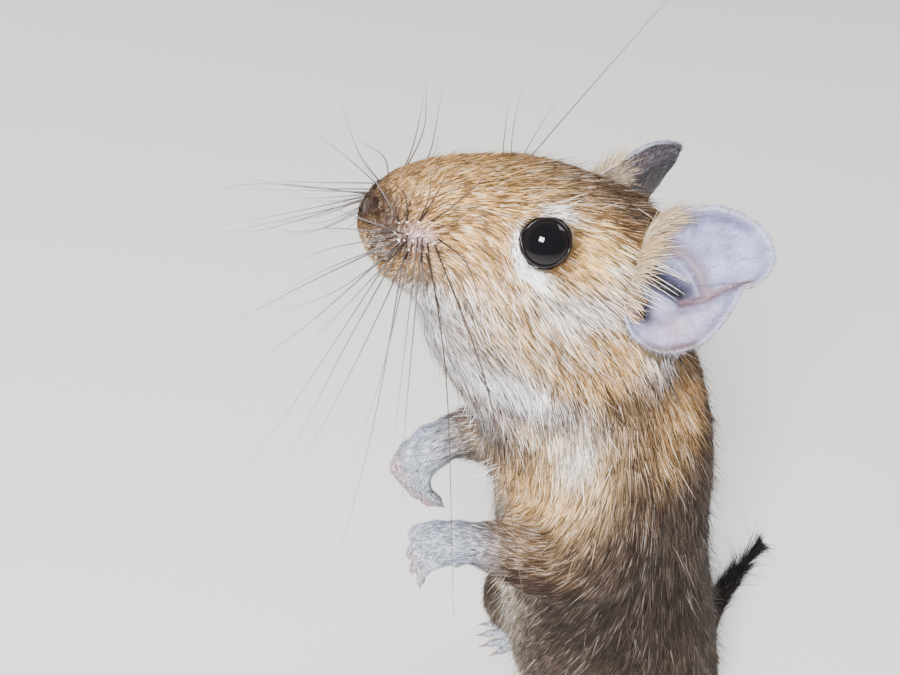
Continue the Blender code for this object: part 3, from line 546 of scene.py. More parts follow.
@dataclass(frozen=True)
class Lie:
    """Which way the hair lies and how long it is, read from places on the head, the trunk and the limbs."""

    # Head places on the left side, as x, y, z, the way x, y, z, and the length of the hair
    snout: tuple = (
        (0, -24.6, 1.6, 0, 0.5, 0.9, 0.5), (3, -23.6, 1.8, -0.2, 0.6, 0.8, 0.6),
        (0.5, -19.2, 6, -0.1, 0.8, 0.5, 1.7), (0.5, -16, 7.8, -0.05, 0.92, 0.35, 2.3),
        (4.3, -11.1, 8.8, 0.03, 0.96, 0.28, 3), (5.2, -18, 5.3, -0.10, 0.85, 0.55, 1.9),
        (6.6, -14.6, 5.9, 0.13, 0.93, 0.35, 2.6), (7.1, -11.2, 7.1, 0.17, 0.96, 0.2, 3),
        (7.7, -14.2, 4.1, 0.24, 0.95, 0.22, 2.6), (4.9, -21.4, 2.4, -0.2, 0.6, 0.8, 1),
        (9, -12.1, 3.2, 0.35, 0.93, -0.10, 2.8), (9.6, -10.4, 3, 0.38, 0.85, -0.30, 2.8),
        (10.2, -8.3, 3, 0.33, 0.63, -0.71, 2.6),
    )
    pad: tuple = (
        (5.8, -22.9, -3, -0.50, -0.55, -0.50, 1), (5.7, -23.1, -4.3, -0.42, -0.40, -0.80, 1.2),
        (7.4, -20.6, -6.4, -0.2, -0.35, -0.90, 2.4), (8.6, -17.6, -7, 0.1, 0.15, -0.98, 3),
        (10.4, -17.2, -3.2, 0.1, 0.9, 0.1, 0.7), (9.1, -13.6, -5, 0.13, 0.60, -0.78, 3.6),
        (9.4, -13, -0.6, 0.33, 0.88, -0.30, 3.2), (8.8, -19.4, -0.6, 0.1, 0.5, 0.8, 0.8),
        (4.6, -22.8, 0.5, -0.1, 0.4, 0.9, 0.7), (4.4, -23.4, -2.6, -0.5, -0.5, -0.3, 0.7),
        (8.6, -20.4, -3.6, -0.2, -0.6, -0.6, 0.7), (9.4, -15, 0.4, 0.3, 0.9, 0.1, 1.8),
    )
    cheek: tuple = (
        (10.4, -8.7, -1, 0.31, 0.72, -0.62, 3.6), (11.7, -5.3, -2.5, 0.28, 0.73, -0.62, 3.8),
        (10.4, -8, -7.5, 0.16, 0.74, -0.66, 4.4), (12.5, -2.4, -7.1, 0.13, 0.79, -0.60, 4.8),
        (12.9, -0.4, -0.6, 0.23, 0.84, -0.49, 3.8), (13.5, 3.2, -0.2, 0.22, 0.86, -0.46, 4),
        (13.8, 6.9, -0.2, 0.21, 0.88, -0.43, 4.4), (14.8, 9.8, -2.8, 0.21, 0.76, -0.61, 5),
        (14.4, 4.9, -7.1, 0.05, 0.71, -0.70, 5.4), (11.9, 3, -12, -0.24, 0.76, -0.61, 5.6),
        (10.8, 7.9, -16, -0.01, 0.80, -0.61, 6), (12.5, 13.1, -12.9, -0.15, 0.78, -0.64, 6.2),
        (14, 14, -8.5, -0.15, 0.74, -0.68, 6),
    )
    crown: tuple = (
        (0.1, -6.2, 10.4, 0, 0.98, 0.21, 3.4), (2.8, -2, 10.8, -0.04, 0.99, 0.12, 3.8),
        (2, 5, 11.5, 0.15, 0.98, 0.05, 4.6), (5.2, 8.3, 11, 0.30, 0.93, -0.19, 5.4),
        (9.4, -5.7, 8.3, 0.08, 0.92, 0.30, 2.8), (9.3, -3.6, 8.9, 0.05, 0.97, 0.23, 2.8),
        (9.1, 0.4, 9.2, -0.05, 0.99, 0.11, 3.2), (10.5, 3.2, 7.9, -0.15, 0.94, 0.30, 3.8),
        (12, 2.2, 5, 0.17, 0.97, -0.12, 3.2), (12, 4.8, 5.3, -0.10, 0.86, 0.51, 4),
        (10.2, 7.5, 8.4, -0.30, 0.77, 0.55, 5), (12.4, 8.5, 4.6, -0.16, 0.70, 0.67, 4.6),
        (12.2, 10.8, 5.5, -0.1, 0.74, 0.66, 6.5), (0, 14, 10.8, 0, 0.96, -0.25, 5),
        (7, 16, 8, 0.3, 0.9, -0.3, 5), (0, 22, 7, 0, 0.85, -0.5, 6),
        (9, 20, 2, 0.2, 0.8, -0.5, 6.5), (12, 19, -4, 0.1, 0.7, -0.7, 6.5),
    )
    chin: tuple = (
        (0, -21, -8.6, 0, 0.7, -0.7, 1.6), (0, -18, -10.6, 0, 0.9, -0.4, 2.4),
        (4, -14, -12, 0.1, 0.9, -0.4, 3.4), (0, -10, -15, 0, 0.98, -0.2, 4.2),
        (6, -7, -13.6, 0.1, 0.93, -0.35, 4.6), (0, -2, -18, 0, 0.98, -0.2, 5.4),
        (0, 5, -19.5, 0, 0.98, -0.2, 6.4), (7, 2, -17.4, 0, 0.9, -0.45, 6),
    )
    # Body places on the left side, mirrored to the right
    trunk: tuple = (
        (13.6, -22, 141, -0.1, 0.35, -0.92, 5.5), (8.5, -13.2, 135.1, 0.2, 0.1, -0.96, 5.5),
        (11.8, -43.4, 137.5, 0.08, 0.33, -0.94, 5.5), (12.8, -40.7, 134.4, 0.09, 0.32, -0.94, 5.9),
        (16.2, -33.1, 132.2, 0.14, 0.74, -0.66, 5.9), (17.1, -26.2, 129.7, 0.07, 0.48, -0.87, 5.9),
        (15.6, -18.6, 129.1, 0.18, 0.22, -0.96, 5.9), (12.6, -39.1, 126.3, -0.12, 0.02, -0.99, 5.9),
        (14.7, -34.6, 122.7, -0.02, 0.20, -0.98, 6.2), (16.6, -30.2, 125, 0.07, 0.46, -0.88, 6.2),
        (18.9, -25.1, 121.1, 0.3, 0.12, -0.91, 6.2), (19.4, -17.9, 120.4, 0.2, 0, -0.97, 6.2),
        (15.2, -8.9, 112.7, 0.1, 0.17, -0.97, 6.2), (0, -3, 118, 0, 0.2, -0.98, 6.2),
        (0, -1, 104, 0, 0.15, -0.98, 6.2), (0, 6, 84, 0, 0.15, -0.98, 6.6),
        (0, 12, 64, 0, 0.15, -0.98, 7), (0, 17, 44, 0, 0.12, -0.99, 7),
        (0, 20, 26, 0, 0.1, -0.99, 7), (12.1, -36.8, 109.6, -0.15, 0.02, -0.99, 5.5),
        (21.3, -11, 88.9, 0.1, 0.08, -0.98, 6.6), (19.8, -24.5, 82.2, 0.02, 0, -1, 6.6),
        (23.7, -16.4, 70.7, 0.09, 0.03, -1, 6.6), (24.2, -7.4, 70.2, 0.1, 0.09, -0.98, 7),
        (25, -6, 50, 0.05, 0.1, -0.99, 7), (17, 10, 50, 0.05, 0.1, -0.99, 7),
        (0, -42, 112, 0, 0.1, -0.99, 5.9), (0, -36, 92, 0, 0.2, -0.98, 6.6),
        (0, -31, 74, 0, 0.2, -0.98, 6.6), (12, -28, 60, 0, 0.1, -0.99, 6.6),
        (0, -30, 55, 0, 0.2, -0.98, 6.6), (0, -26, 36, 0, 0.4, -0.9, 6.2),
        (0, -14, 17, 0, 0.9, -0.3, 5.5), (0, 4, 11, 0, 0.95, -0.1, 5.5),
        (14, 14, 28, 0, 0.2, -0.97, 6.6), (22, 2, 30, 0.1, 0, -0.99, 6.2),
        (17.5, -23, 107, 0.05, -0.1, -0.99, 5.5), (14, -31, 108, -0.05, -0.25, -0.97, 5.5),
        (20, -16, 98, 0, -0.25, -0.97, 5.9), (18.5, -24, 96, -0.05, -0.45, -0.89, 5.1),
        (16.5, -31, 98.5, -0.1, -0.55, -0.83, 3.9), (16.6, -31, 92.5, -0.1, -0.75, -0.65, 3.9),
        (19.5, -19, 88.5, 0, -0.35, -0.94, 5.9),
    )

    def places(self) -> tuple[Array, Array, Array]:
        """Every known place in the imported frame, with the way and the length of its hair."""
        head = np.array(self.snout + self.pad + self.cheek + self.crown + self.chin)
        flip = np.array([-1.0, 1, 1, -1, 1, 1, 1])
        head = np.vstack([head, head * flip])
        body = np.array(self.trunk)
        body = np.vstack([body, body * flip])
        rows = [np.hstack([POSE.head_to_frame(head[:, :3]), head[:, 3:6] @ POSE.turn().T, head[:, 6:]]),
                np.hstack([body[:, :3] + POSE.shift(), body[:, 3:]])]
        for limb in LIMBS:
            rows.append(limb.hair())
        table = np.vstack(rows)
        return table[:, :3], unit(table[:, 3:6]), table[:, 6]

    def read(self, places: Array, normals: Array) -> tuple[Array, Array]:
        """The way and the length of the hair at places on the skin.

        Args:
            places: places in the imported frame, one a row.
            normals: the skin's normals there.

        Returns:
            The way along the skin, and the length in millimetres.
        """
        known, ways, lengths = self.places()
        flow = np.zeros_like(places)
        reach = np.zeros(len(places))
        block = 20000
        for start in range(0, len(places), block):
            rows = slice(start, start + block)
            gap = ((places[rows, None] - known[None]) ** 2).sum(2)
            share = 1.0 / (gap + 1.5) ** 2.2
            share /= share.sum(1, keepdims=True)
            flow[rows] = share @ ways
            reach[rows] = share @ lengths
        flow -= normals * (flow * normals).sum(1, keepdims=True)
        return unit(flow), reach


@dataclass(frozen=True)
class Limb:
    """A limb or the tail as a line down its middle, with the length of the hair at each point of it."""

    points: tuple
    lengths: tuple

    def hair(self) -> Array:
        """Places down the middle of the limb with the way and length of the hair round them."""
        line = spline(self.points, 3)
        ways = unit(np.gradient(line, axis=0))
        lengths = np.interp(np.linspace(0, 1, len(line)), np.linspace(0, 1, len(self.lengths)), self.lengths)
        return np.hstack([line + POSE.shift(), ways, lengths[:, None]])


ARM_LEFT = Limb(((15.6, -37, 97), (14.6, -40.5, 98.6), (13.4, -45.5, 100.6), (12.3, -51.8, 100.2),
                 (11.6, -55.4, 97.2), (11.2, -56.4, 92.8)), (4, 3, 2, 1.1, 0.6, 0.5))
ARM_RIGHT = Limb(((-12.8, -36.5, 98), (-10.4, -41.5, 100.4), (-8.8, -46.6, 102.2), (-9, -52.2, 96.6),
                  (-8.8, -53.4, 89.8), (-8.2, -50.2, 83.4)), (4, 3, 2, 1.1, 0.6, 0.5))
LEG_LEFT = Limb(((16, -8, 33), (17, -20, 25), (16.8, -20.5, 17.5), (16.2, -10, 12.2)),
                (8, 6.5, 5, 3.6))
LEG_RIGHT = Limb(tuple((-x, y, z) for x, y, z in LEG_LEFT.points), LEG_LEFT.lengths)
FOOT_LEFT = Limb(((15.6, 2, 6), (16.6, -12, 4), (17.6, -26, 2.6), (18.2, -33, 1.6)),
                 (2.4, 1.6, 1, 0.7))
FOOT_RIGHT = Limb(tuple((-x, y, z) for x, y, z in FOOT_LEFT.points), FOOT_LEFT.lengths)
TAIL = Limb(((1, 16, 15), (-1, 22.5, 9.5), (-6, 28.5, 5.4), (-13, 34.4, 3.1), (-20, 41.5, 2.8),
             (-26, 49, 2.6), (-30.8, 55.5, 2.3), (-33.6, 59.2, 2)),
            (6.5, 5, 4.6, 5.2, 6.8, 9, 9.5, 9.5))
LIMBS = (ARM_LEFT, ARM_RIGHT, LEG_LEFT, LEG_RIGHT, FOOT_LEFT, FOOT_RIGHT, TAIL)
COAT_LIE = Lie()


# Hands and feet


@dataclass(frozen=True)
class Hand:
    """A forepaw: the places of its joints and the way across its knuckles."""

    wrist: Triple
    knuckles: Triple
    middle: Triple
    tip: Triple
    across: Triple
    before: Triple
    palm: float = 4.2
    finger: float = 1.16
    spread: float = 3.0

    def palm_line(self) -> tuple[Array, Array]:
        """The line down the middle of the palm, and its radius at each point."""
        wrist, knuckles = np.array(self.wrist), np.array(self.knuckles)
        way = unit(wrist - np.array(self.before))
        line = spline((wrist - way * 3.0, wrist, (wrist + knuckles) / 2, knuckles), 5)
        return line, np.interp(np.arange(len(line)), (0, 5, 10, 15), (3.6, 3.6, self.palm, 3.6))

    def digits(self) -> list[Array]:
        """The joints of the four fingers and the stub of a thumb."""
        wrist, knuckles = np.array(self.wrist), np.array(self.knuckles)
        middle, tip, across = np.array(self.middle), np.array(self.tip), unit(np.array(self.across))
        made = []
        for index in range(4):
            spread = (index - 1.5) / 1.5
            reach = 1.0 if index in (1, 2) else 0.84
            root = knuckles + across * spread * self.spread
            bend = root + (middle - knuckles) * reach + across * 0.6 * spread
            end = root + (tip - knuckles) * reach + across * 1.15 * spread
            made.append(np.array([root + (wrist - knuckles) * 0.12, bend, end]))
        thumb = wrist + (knuckles - wrist) * 0.45 + across * self.palm * 0.7
        down = unit(tip - wrist)
        made.append(np.array([thumb - across, thumb + across * 0.5, thumb + across * 0.8 + down * 1.8]))
        return made


HANDS = (
    Hand(*ARM_LEFT.points[2:], (0.80, 0.10, -0.60), (14.6, -39.5, 98.0)),
    Hand(*ARM_RIGHT.points[2:], (0.78, 0.60, 0.18), ARM_RIGHT.points[1], palm=4.9, finger=1.5, spread=3.3),
)


@dataclass(frozen=True)
class Foot:
    """A hind foot flat on the floor: its heel, the way it points and the lengths of its toes."""

    side: Side
    heel: Triple = (15.5, 3.0, 0.0)
    turn: float = 5.0
    length: float = 36.0
    instep: float = 19.1
    toe: float = 1.12
    reach: tuple = (0.29, 0.36, 0.37, 0.34, 0.24)

    def axes(self) -> tuple[Array, Array, Array]:
        """The heel, the way ahead and the way across."""
        angle, sign = math.radians(self.turn), self.side.value
        return (np.array(self.heel) * (sign, 1, 1), np.array([math.sin(angle) * sign, -math.cos(angle), 0]),
                np.array([math.cos(angle) * sign, math.sin(angle), 0]))

    def digits(self) -> list[Array]:
        """The joints of the five toes."""
        heel, ahead, across = self.axes()
        made = []
        for index, reach in enumerate(self.reach):
            spread = (index - 2) / 2
            length = self.length * reach * 0.86
            root = heel + ahead * self.instep + across * spread * 3.3
            way = unit(ahead + 0.24 * spread * across)
            made.append(np.array([root - way * 2.0 + (0, 0, 2.2), root + way * length * 0.45 + (0, 0, 2.3),
                                  root + way * length + (0, 0, 1.25)]))
        return made


FEET = tuple(Foot(side) for side in Side)


# Markings shared by the skin and the coat


class Tone(Enum):
    """Colours of the coat and the skin, as linear red, green and blue."""

    OCHRE = (0.62, 0.33, 0.10)
    BUFF = (0.62, 0.36, 0.14)
    SNOUT = (0.56, 0.33, 0.12)
    GOLD = (0.95, 0.60, 0.22)
    CHEEK = (0.62, 0.42, 0.215)
    BROWN = (0.052, 0.036, 0.027)
    FLANK = (0.080, 0.055, 0.041)
    DUSK = (0.034, 0.024, 0.020)
    # Dark dusky brown; on the trunk it is painted shade.
    BLACK = (0.014, 0.011, 0.011)
    CREAM = (0.72, 0.60, 0.43)
    PALE = (0.50, 0.54, 0.62)
    WHITE = (0.93, 0.94, 0.97)
    SLATE = (0.42, 0.46, 0.56)
    PINK = (0.43, 0.29, 0.34)
    NOSE = (0.017, 0.010, 0.011)
    MUZZLE = (0.105, 0.066, 0.058)
    PAW = (0.29, 0.325, 0.42)
    FINGER = (0.44, 0.29, 0.30)
    SLEEVE = (0.20, 0.125, 0.072)
    CROWN = (0.25, 0.185, 0.14)
    BELLY = (0.36, 0.29, 0.21)
    # Near-black painted shade inside the nostrils.
    HOLLOW = (0.008, 0.004, 0.004)
    EAR_FACE = (0.26, 0.275, 0.47)
    EAR_BACK = (0.036, 0.029, 0.034)
    EAR_LOBE = (0.50, 0.36, 0.41)
    # Pale rim of the ear: partly its fine white fuzz, partly a painted highlight.
    EAR_RIM = (0.62, 0.60, 0.66)
    EAR_DOWN = (0.62, 0.68, 0.92)

    @property
    def rgb(self) -> Array:
        """The tone as an array."""
        return np.array(self.value)


@dataclass(frozen=True)
class Mark:
    """A soft-edged patch of the coat: its place, reach, tone and shares of dark and of pale hairs, the pale
    ones partly painted highlights.
    """

    place: Triple
    reach: Triple
    tone: Tone
    dark: float
    pale: float
    strength: float = 1.0
    bare: float = 0.0
    paired: bool = True


@dataclass(frozen=True)
class Markings:
    """The coat's pattern over the whole animal, with painted shade on the sides of the trunk."""

    body: tuple[Mark, ...] = (
        Mark((0, -8, 120), (90, 90, 90), Tone.FLANK, 0.34, 0.06, 30.0, paired=False),
        Mark((0, 8, 76), (26, 20, 60), Tone.BROWN, 0.36, 0.05, 1.6, paired=False),
        Mark((0, 16, 30), (24, 20, 26), Tone.BROWN, 0.34, 0.05, 1.0, paired=False),
        Mark((0, -12, 50), (34, 24, 30), Tone.BROWN, 0.30, 0.05, 1.2, paired=False),
        Mark((0, -37, 74), (8, 9, 44), Tone.BELLY, 0.16, 0.30, 1.8, paired=False),
        Mark((0, -16, 20), (9, 16, 10), Tone.CREAM, 0.05, 0.45, 2.0, paired=False),
        Mark((15.5, -32, 121), (6, 6, 10), Tone.CHEEK, 0.12, 0.20, 2.0),
        Mark((13, -37, 111), (7, 6, 8), Tone.BUFF, 0.12, 0.14, 1.8),
        Mark((18, -36, 101.5), (7, 9, 5.5), Tone.SLEEVE, 0.26, 0.14, 2.4),
        # Painted shade: a thin dark band in the crease under the arms.
        Mark((22, -33, 97.6), (5, 9, 2.2), Tone.DUSK, 0.62, 0.0, 1.3),
        # Partly the brown coat of the flank and partly painted shade: the side of the trunk is painted darker
        # than the back.
        Mark((23.5, -21, 108), (6, 7, 13), Tone.BROWN, 0.36, 0.05, 1.2),
        # Painted shade: the lower side of the trunk is painted dark brown.
        Mark((22, -20, 82), (12, 16, 15), Tone.DUSK, 0.40, 0.03, 1.8),
        Mark((12.5, -14.5, 131), (6, 6, 8), Tone.BUFF, 0.26, 0.24, 1.3),
        Mark((13, -38, 130), (7, 6, 3.2), Tone.CHEEK, 0.20, 0.42, 0.9),
        Mark((16.4, -32.5, 126.5), (3, 2.2, 6), Tone.WHITE, 0.04, 0.55, 1.0),
        Mark((4, -47, 131), (7, 6, 5), Tone.PALE, 0.20, 0.42, 0.9),
        Mark((13.5, -48, 99), (6, 5, 7), Tone.PAW, 0.10, 0.26, 1.7, bare=0.1),
        Mark((10, -53, 95), (8, 7, 8), Tone.PAW, 0.10, 0.24, 4.0, bare=0.2),
        Mark((11, -56.5, 92), (4, 2.6, 4), Tone.FINGER, 0.12, 0.2, 2.0, bare=0.6),
        Mark((8.4, -50.6, 84), (4, 3, 4), Tone.FINGER, 0.12, 0.2, 2.0, bare=0.6),
        Mark((17, -16, 14), (9, 9, 8), Tone.FLANK, 0.25, 0.2, 0.8),
        Mark((17, -16, 3), (8, 24, 6.5), Tone.PAW, 0.02, 0.4, 3.0, bare=0.6),
        Mark((-8, 30, 6), (10, 9, 8), Tone.BLACK, 0.6, 0.0, 2.4, paired=False),
        Mark((-20, 44, 3), (15, 14, 9), Tone.BLACK, 0.9, 0.0, 6.0, paired=False),
        Mark((-32, 58, 3), (14, 14, 9), Tone.BLACK, 0.95, 0.0, 6.0, paired=False),
    )
    head: tuple[Mark, ...] = (
        Mark((0, -3, -2), (15, 21, 15), Tone.OCHRE, 0.34, 0.18, 3.0, paired=False),
        Mark((0, 1, 11), (8, 9, 3.5), Tone.CROWN, 0.44, 0.14, 1.1, paired=False),
        Mark((0, -13, 8), (8, 9, 5), Tone.SNOUT, 0.40, 0.15, 1.1, paired=False),
        Mark((10, -8, -5), (6, 8, 5), Tone.CHEEK, 0.27, 0.34, 0.9),
        Mark((13, 3, -7), (5, 9, 6), Tone.CHEEK, 0.30, 0.36, 0.9),
        Mark((13, 12, -9), (5, 7, 7), Tone.BUFF, 0.26, 0.22, 0.8),
        Mark((0, -12, -14), (7, 13, 4.0), Tone.PALE, 0.10, 0.55, 1.6, paired=False),
        Mark((4, 2, -19.5), (9, 11, 3.4), Tone.PALE, 0.12, 0.50, 1.5),
        Mark((7, -15, -8.5), (4, 4, 3), Tone.SLATE, 0.14, 0.55, 1.2),
        Mark((9.4, -11.0, -7.5), (3, 5, 3), Tone.SLATE, 0.30, 0.45, 0.4),
        Mark((13.6, 0.6, -2.6), (3, 4, 2.0), Tone.SLATE, 0.42, 0.38, 0.8),
        Mark((13.8, 4.6, -0.8), (3, 4, 2.0), Tone.SLATE, 0.30, 0.40, 0.9),
        Mark((10.0, -7.9, 4.9), (2, 0.7, 1.1), Tone.WHITE, 0.0, 0.9, 1.2),
        Mark((10.6, -7.2, 3.4), (2, 0.7, 1.0), Tone.WHITE, 0.0, 0.95, 1.8),
        Mark((11.5, -6.2, 2.0), (2, 0.8, 1.0), Tone.WHITE, 0.0, 0.95, 2.4),
        Mark((11.9, -4.8, 0.7), (2, 1.1, 0.8), Tone.WHITE, 0.0, 0.95, 2.6),
        Mark((12.5, -3.0, -0.2), (2, 1.1, 0.7), Tone.WHITE, 0.0, 0.9, 1.8),
        Mark((9.9, -5.4, 8.1), (1.4, 1.1, 0.7), Tone.WHITE, 0.02, 0.8, 1.0),
        Mark((9.6, -3.4, 8.7), (1.4, 1.3, 0.6), Tone.WHITE, 0.04, 0.6, 0.9),
        Mark((9.8, -0.8, 8.2), (1.4, 1.4, 0.7), Tone.CREAM, 0.05, 0.4, 0.6),
        Mark((11.6, 3.4, 5.8), (3, 3.4, 2.8), Tone.GOLD, 0.08, 0.10, 1.2),
        Mark((4.5, 9.0, 11.0), (5, 6, 3.5), Tone.DUSK, 0.55, 0.05, 1.6),
        Mark((7.5, 12.0, 9.5), (3.5, 4.5, 3), Tone.DUSK, 0.62, 0.04, 1.0),
        Mark((12.6, 8.4, 4.4), (2.5, 3.6, 2.6), Tone.CREAM, 0.16, 0.62, 1.3),
        Mark((12.0, 18.6, -4.0), (3, 2.0, 6), Tone.CREAM, 0.06, 0.7, 1.3),
        Mark((9.4, 22.6, -5.0), (3, 2.4, 6), Tone.SLATE, 0.24, 0.50, 0.8),
        Mark((12.2, 16.4, -14.0), (3, 3, 1.3), Tone.DUSK, 0.55, 0.0, 1.3),
        Mark((12.0, 19.2, -12.4), (3, 2.4, 1.2), Tone.DUSK, 0.5, 0.0, 1.1),
        Mark((7.6, -19.4, -0.9), (2.3, 1.9, 1.25), Tone.PINK, 0.30, 0.22, 1.6, bare=0.6),
        Mark((4.8, -22.6, -0.9), (2.6, 1.8, 2.8), Tone.MUZZLE, 0.68, 0.08, 2.2, bare=0.1),
        Mark((5.2, -22.6, -3.6), (2.4, 1.8, 1.8), Tone.MUZZLE, 0.45, 0.22, 1.4, bare=0.1),
        Mark((2.2, -24.2, 1.2), (2.0, 1.2, 1.4), Tone.MUZZLE, 0.72, 0.06, 2.0, bare=0.2),
        Mark((0, -25.0, -1.2), (3.6, 1.2, 2.4), Tone.NOSE, 0.5, 0.0, 3.0, bare=0.7, paired=False),
    )

    def read(self, places: Array) -> tuple[Array, Array, Array, Array]:
        """The coat's pattern at places on the animal.

        Args:
            places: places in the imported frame, in millimetres, one a row.

        Returns:
            The colour, the share of dark hairs, the share of pale hairs, and how bare the skin is.
        """
        count = len(places)
        colour = np.tile(Tone.FLANK.rgb, (count, 1))
        dark, pale, bare = np.full(count, 0.3), np.full(count, 0.1), np.zeros(count)
        local = POSE.frame_to_head(places)
        whole = places - POSE.shift()
        for spots, table in ((whole, self.body), (local, self.head)):
            for spot in table:
                across = np.abs(spots[:, :1]) if spot.paired else spots[:, :1]
                seen = np.hstack([across, spots[:, 1:]])
                far = (((seen - np.array(spot.place, float)) / np.array(spot.reach, float)) ** 2).sum(1)
                share = 1.0 - np.exp(-spot.strength * np.exp(-far))
                colour += share[:, None] * (spot.tone.rgb - colour)
                dark += share * (spot.dark - dark)
                pale += share * (spot.pale - pale)
                bare += share * (spot.bare - bare)
        return colour, dark, pale, bare


PATTERN = Markings()


# The skin


EYE_RIM = 3.34
EYE_RADIUS = 4.3
EYE_AXIS: Triple = (0.88, -0.34, 0.33)
EYE_OUT = unit(np.array(EYE_AXIS))
FAR = 20.0
NOSTRIL = ((1.2, -24.2, 1.3), (2.3, -24.1, 0.8), (3.2, -23.9, 0.1), (3.5, -24.0, -0.7), (3.0, -24.4, -1.4))
FLESH = ("head", "muzzle", "nose", "lower_jaw", "neck", "chest", "belly", "rump", "tail_base", "tail_middle",
         "tail_brush") + tuple(f"{part}_{side.word}" for side in Side for part in
                               ("upper_arm", "forearm", "forepaw", "thigh", "shank", "hind_foot"))


def left_side(local: Array) -> Array:
    """Head places, those of the right side mirrored onto the left."""
    return np.column_stack([np.abs(local[:, 0]), local[:, 1:]])


def about_eye(seen: Array) -> tuple[Array, Array]:
    """How far head places of the left side lie out along the eye's axis, and how far off it."""
    out = seen - POSE.eye
    height = out @ EYE_OUT
    return height, np.linalg.norm(out - height[:, None] * EYE_OUT, axis=1)


def slice_off(part: bmesh.types.BMesh, place: Vector, way: Vector) -> None:
    """Cut a part at a plane, take away what lies past it and close the cut."""
    bmesh.ops.bisect_plane(part, geom=part.verts[:] + part.edges[:] + part.faces[:], clear_outer=True,
                           plane_co=place, plane_no=way)
    bmesh.ops.holes_fill(part, edges=[edge for edge in part.edges if edge.is_boundary])


@dataclass
class Hide:
    """The whole skin in one piece: the flesh joined and drawn in, with nostrils, lips and sockets."""

    voxel: float = 0.37
    swell: float = 0.22
    fine_limit: int = 150000
    depth_share: float = 0.19
    pad_low: Triple = (0.0, -22.2, -7.6)
    pad_high: Triple = (9.0, -12.6, 1.2)
    socket: float = 3.36
    socket_reach: float = 9.0
    mound: float = 2.75
    tail_from: float = 36.0
    # How much darker, and how wide, the skin is painted round the eyes: partly their dark rim, partly painted
    # shade.
    rim_shade: tuple[float, float] = (0.84, 1.4)
    mouth: tuple = ((0.0, -22.0, -8.3), (2.6, -20.6, -8.4), (4.6, -17.6, -9.2), (5.8, -14.4, -10.4),
                    (6.0, -12.4, -11.0))
    cleft: tuple = ((0.0, -25.4, -3.2), (0.0, -24.6, -5.0), (0.0, -23.2, -7.0), (0.0, -22.0, -8.3))
    obj: bpy.types.Object = field(init=False)

    def clip_pad(self, part: bmesh.types.BMesh, side: Side) -> None:
        """Cut the whiskers off a pad, a little way out from it.

        Args:
            part: the copy of the pad with its whiskers.
            side: which side it is on.
        """
        head = POSE.matrix()
        for corner, outward in ((self.pad_low, -1.0), (self.pad_high, 1.0)):
            for axis in range(3):
                if outward < 0 and axis == 0:
                    continue
                flat = [0.0, 0.0, 0.0]
                flat[axis] = outward * (side.value if axis == 0 else 1)
                place = Vector((corner[0] * side.value, corner[1], corner[2])) * MM
                slice_off(part, head @ place, head.to_3x3() @ Vector(flat))

    def clip_toes(self, part: bmesh.types.BMesh, foot: Foot) -> None:
        """Cut the toes off a foot, which gets finer ones."""
        heel, ahead, _ = foot.axes()
        slice_off(part, Vector((heel + ahead * (foot.instep + 0.4) + POSE.shift()) * MM), Vector(ahead))

    def beads(self, whole: bmesh.types.BMesh, line: Array, radii: Array, flat: Array | None = None,
              share: float = 1.0) -> None:
        """Add a row of overlapping balls, which the join turns into a smooth limb.

        Args:
            whole: the bmesh they join.
            line: their places on the body.
            radii: their radii.
            flat: the way in which they are flattened.
            share: how thick they stay that way.
        """
        squash = Matrix.Identity(4) if flat is None else Matrix.Scale(share, 4, Vector(flat))
        for place, radius in zip(line, radii):
            matrix = Matrix.Translation(Vector((place + POSE.shift()) * MM)) @ squash
            bmesh.ops.create_icosphere(whole, subdivisions=2, radius=radius * MM, matrix=matrix)

    def limbs(self, whole: bmesh.types.BMesh) -> None:
        """Add the hands, the toes and the tail's thin end."""
        for hand in HANDS:
            line, radii = hand.palm_line()
            ahead = unit(np.array(hand.knuckles) - np.array(hand.wrist))
            normal = np.cross(unit(np.array(hand.across)), ahead)
            self.beads(whole, line, radii, unit(normal), 0.74)
            for index, digit in enumerate(hand.digits()):
                run = spline(digit, 10)
                size = hand.finger * (0.8 if index == 4 else 1.0)
                radii = np.interp(np.linspace(0, 1, len(run)), (0, 0.3, 0.5, 0.72, 0.9, 1.0),
                                  (1.12, 0.92, 0.98, 0.80, 0.92, 0.70)) * size
                self.beads(whole, run, radii)
        for foot in FEET:
            for digit in foot.digits():
                run = spline(digit, 14)
                radii = np.interp(np.linspace(0, 1, len(run)), (0, 0.3, 0.5, 0.75, 0.9, 1.0),
                                  (1.25, 1.0, 1.08, 0.88, 1.05, 0.8)) * foot.toe
                self.beads(whole, run, radii)
        tail = spline(TAIL.points, 4)
        radii = np.linspace(3.0, 0.9, len(tail))
        thin = tail[:, 1] > self.tail_from
        self.beads(whole, tail[thin], radii[thin])

    def flesh(self) -> bpy.types.Object:
        """Copies of the flesh nodes and whisker pads, each swollen a little so that they meet."""
        whole = bmesh.new()
        pads = {f"whiskers_{side.word}": side for side in Side}
        for name in FLESH + tuple(pads):
            if name == "tail_brush" or name.startswith("forepaw"):
                continue
            part = bmesh.new()
            part.from_mesh(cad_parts[name].data)
            bmesh.ops.remove_doubles(part, verts=part.verts, dist=0.004 * MM)
            if name in pads:
                self.clip_pad(part, pads[name])
            if name.startswith("hind_foot"):
                self.clip_toes(part, FEET[0] if name.endswith("left") else FEET[1])
            part.normal_update()
            moves = [(vert, vert.normal * self.swell * MM) for vert in part.verts]
            for vert, move in moves:
                vert.co += move
            copy = bpy.data.meshes.new("part")
            part.to_mesh(copy)
            part.free()
            whole.from_mesh(copy)
            bpy.data.meshes.remove(copy)
        head = POSE.matrix()
        for side in Side:
            flip = Matrix.Diagonal((side.value, 1, 1, 1))
            plug = Matrix.Translation(Vector(POSE.eye) * MM)
            bmesh.ops.create_icosphere(whole, subdivisions=3, radius=(EYE_RADIUS - 0.6) * MM,
                                       matrix=head @ flip @ plug)
        self.limbs(whole)
        return from_bmesh("flesh", whole)

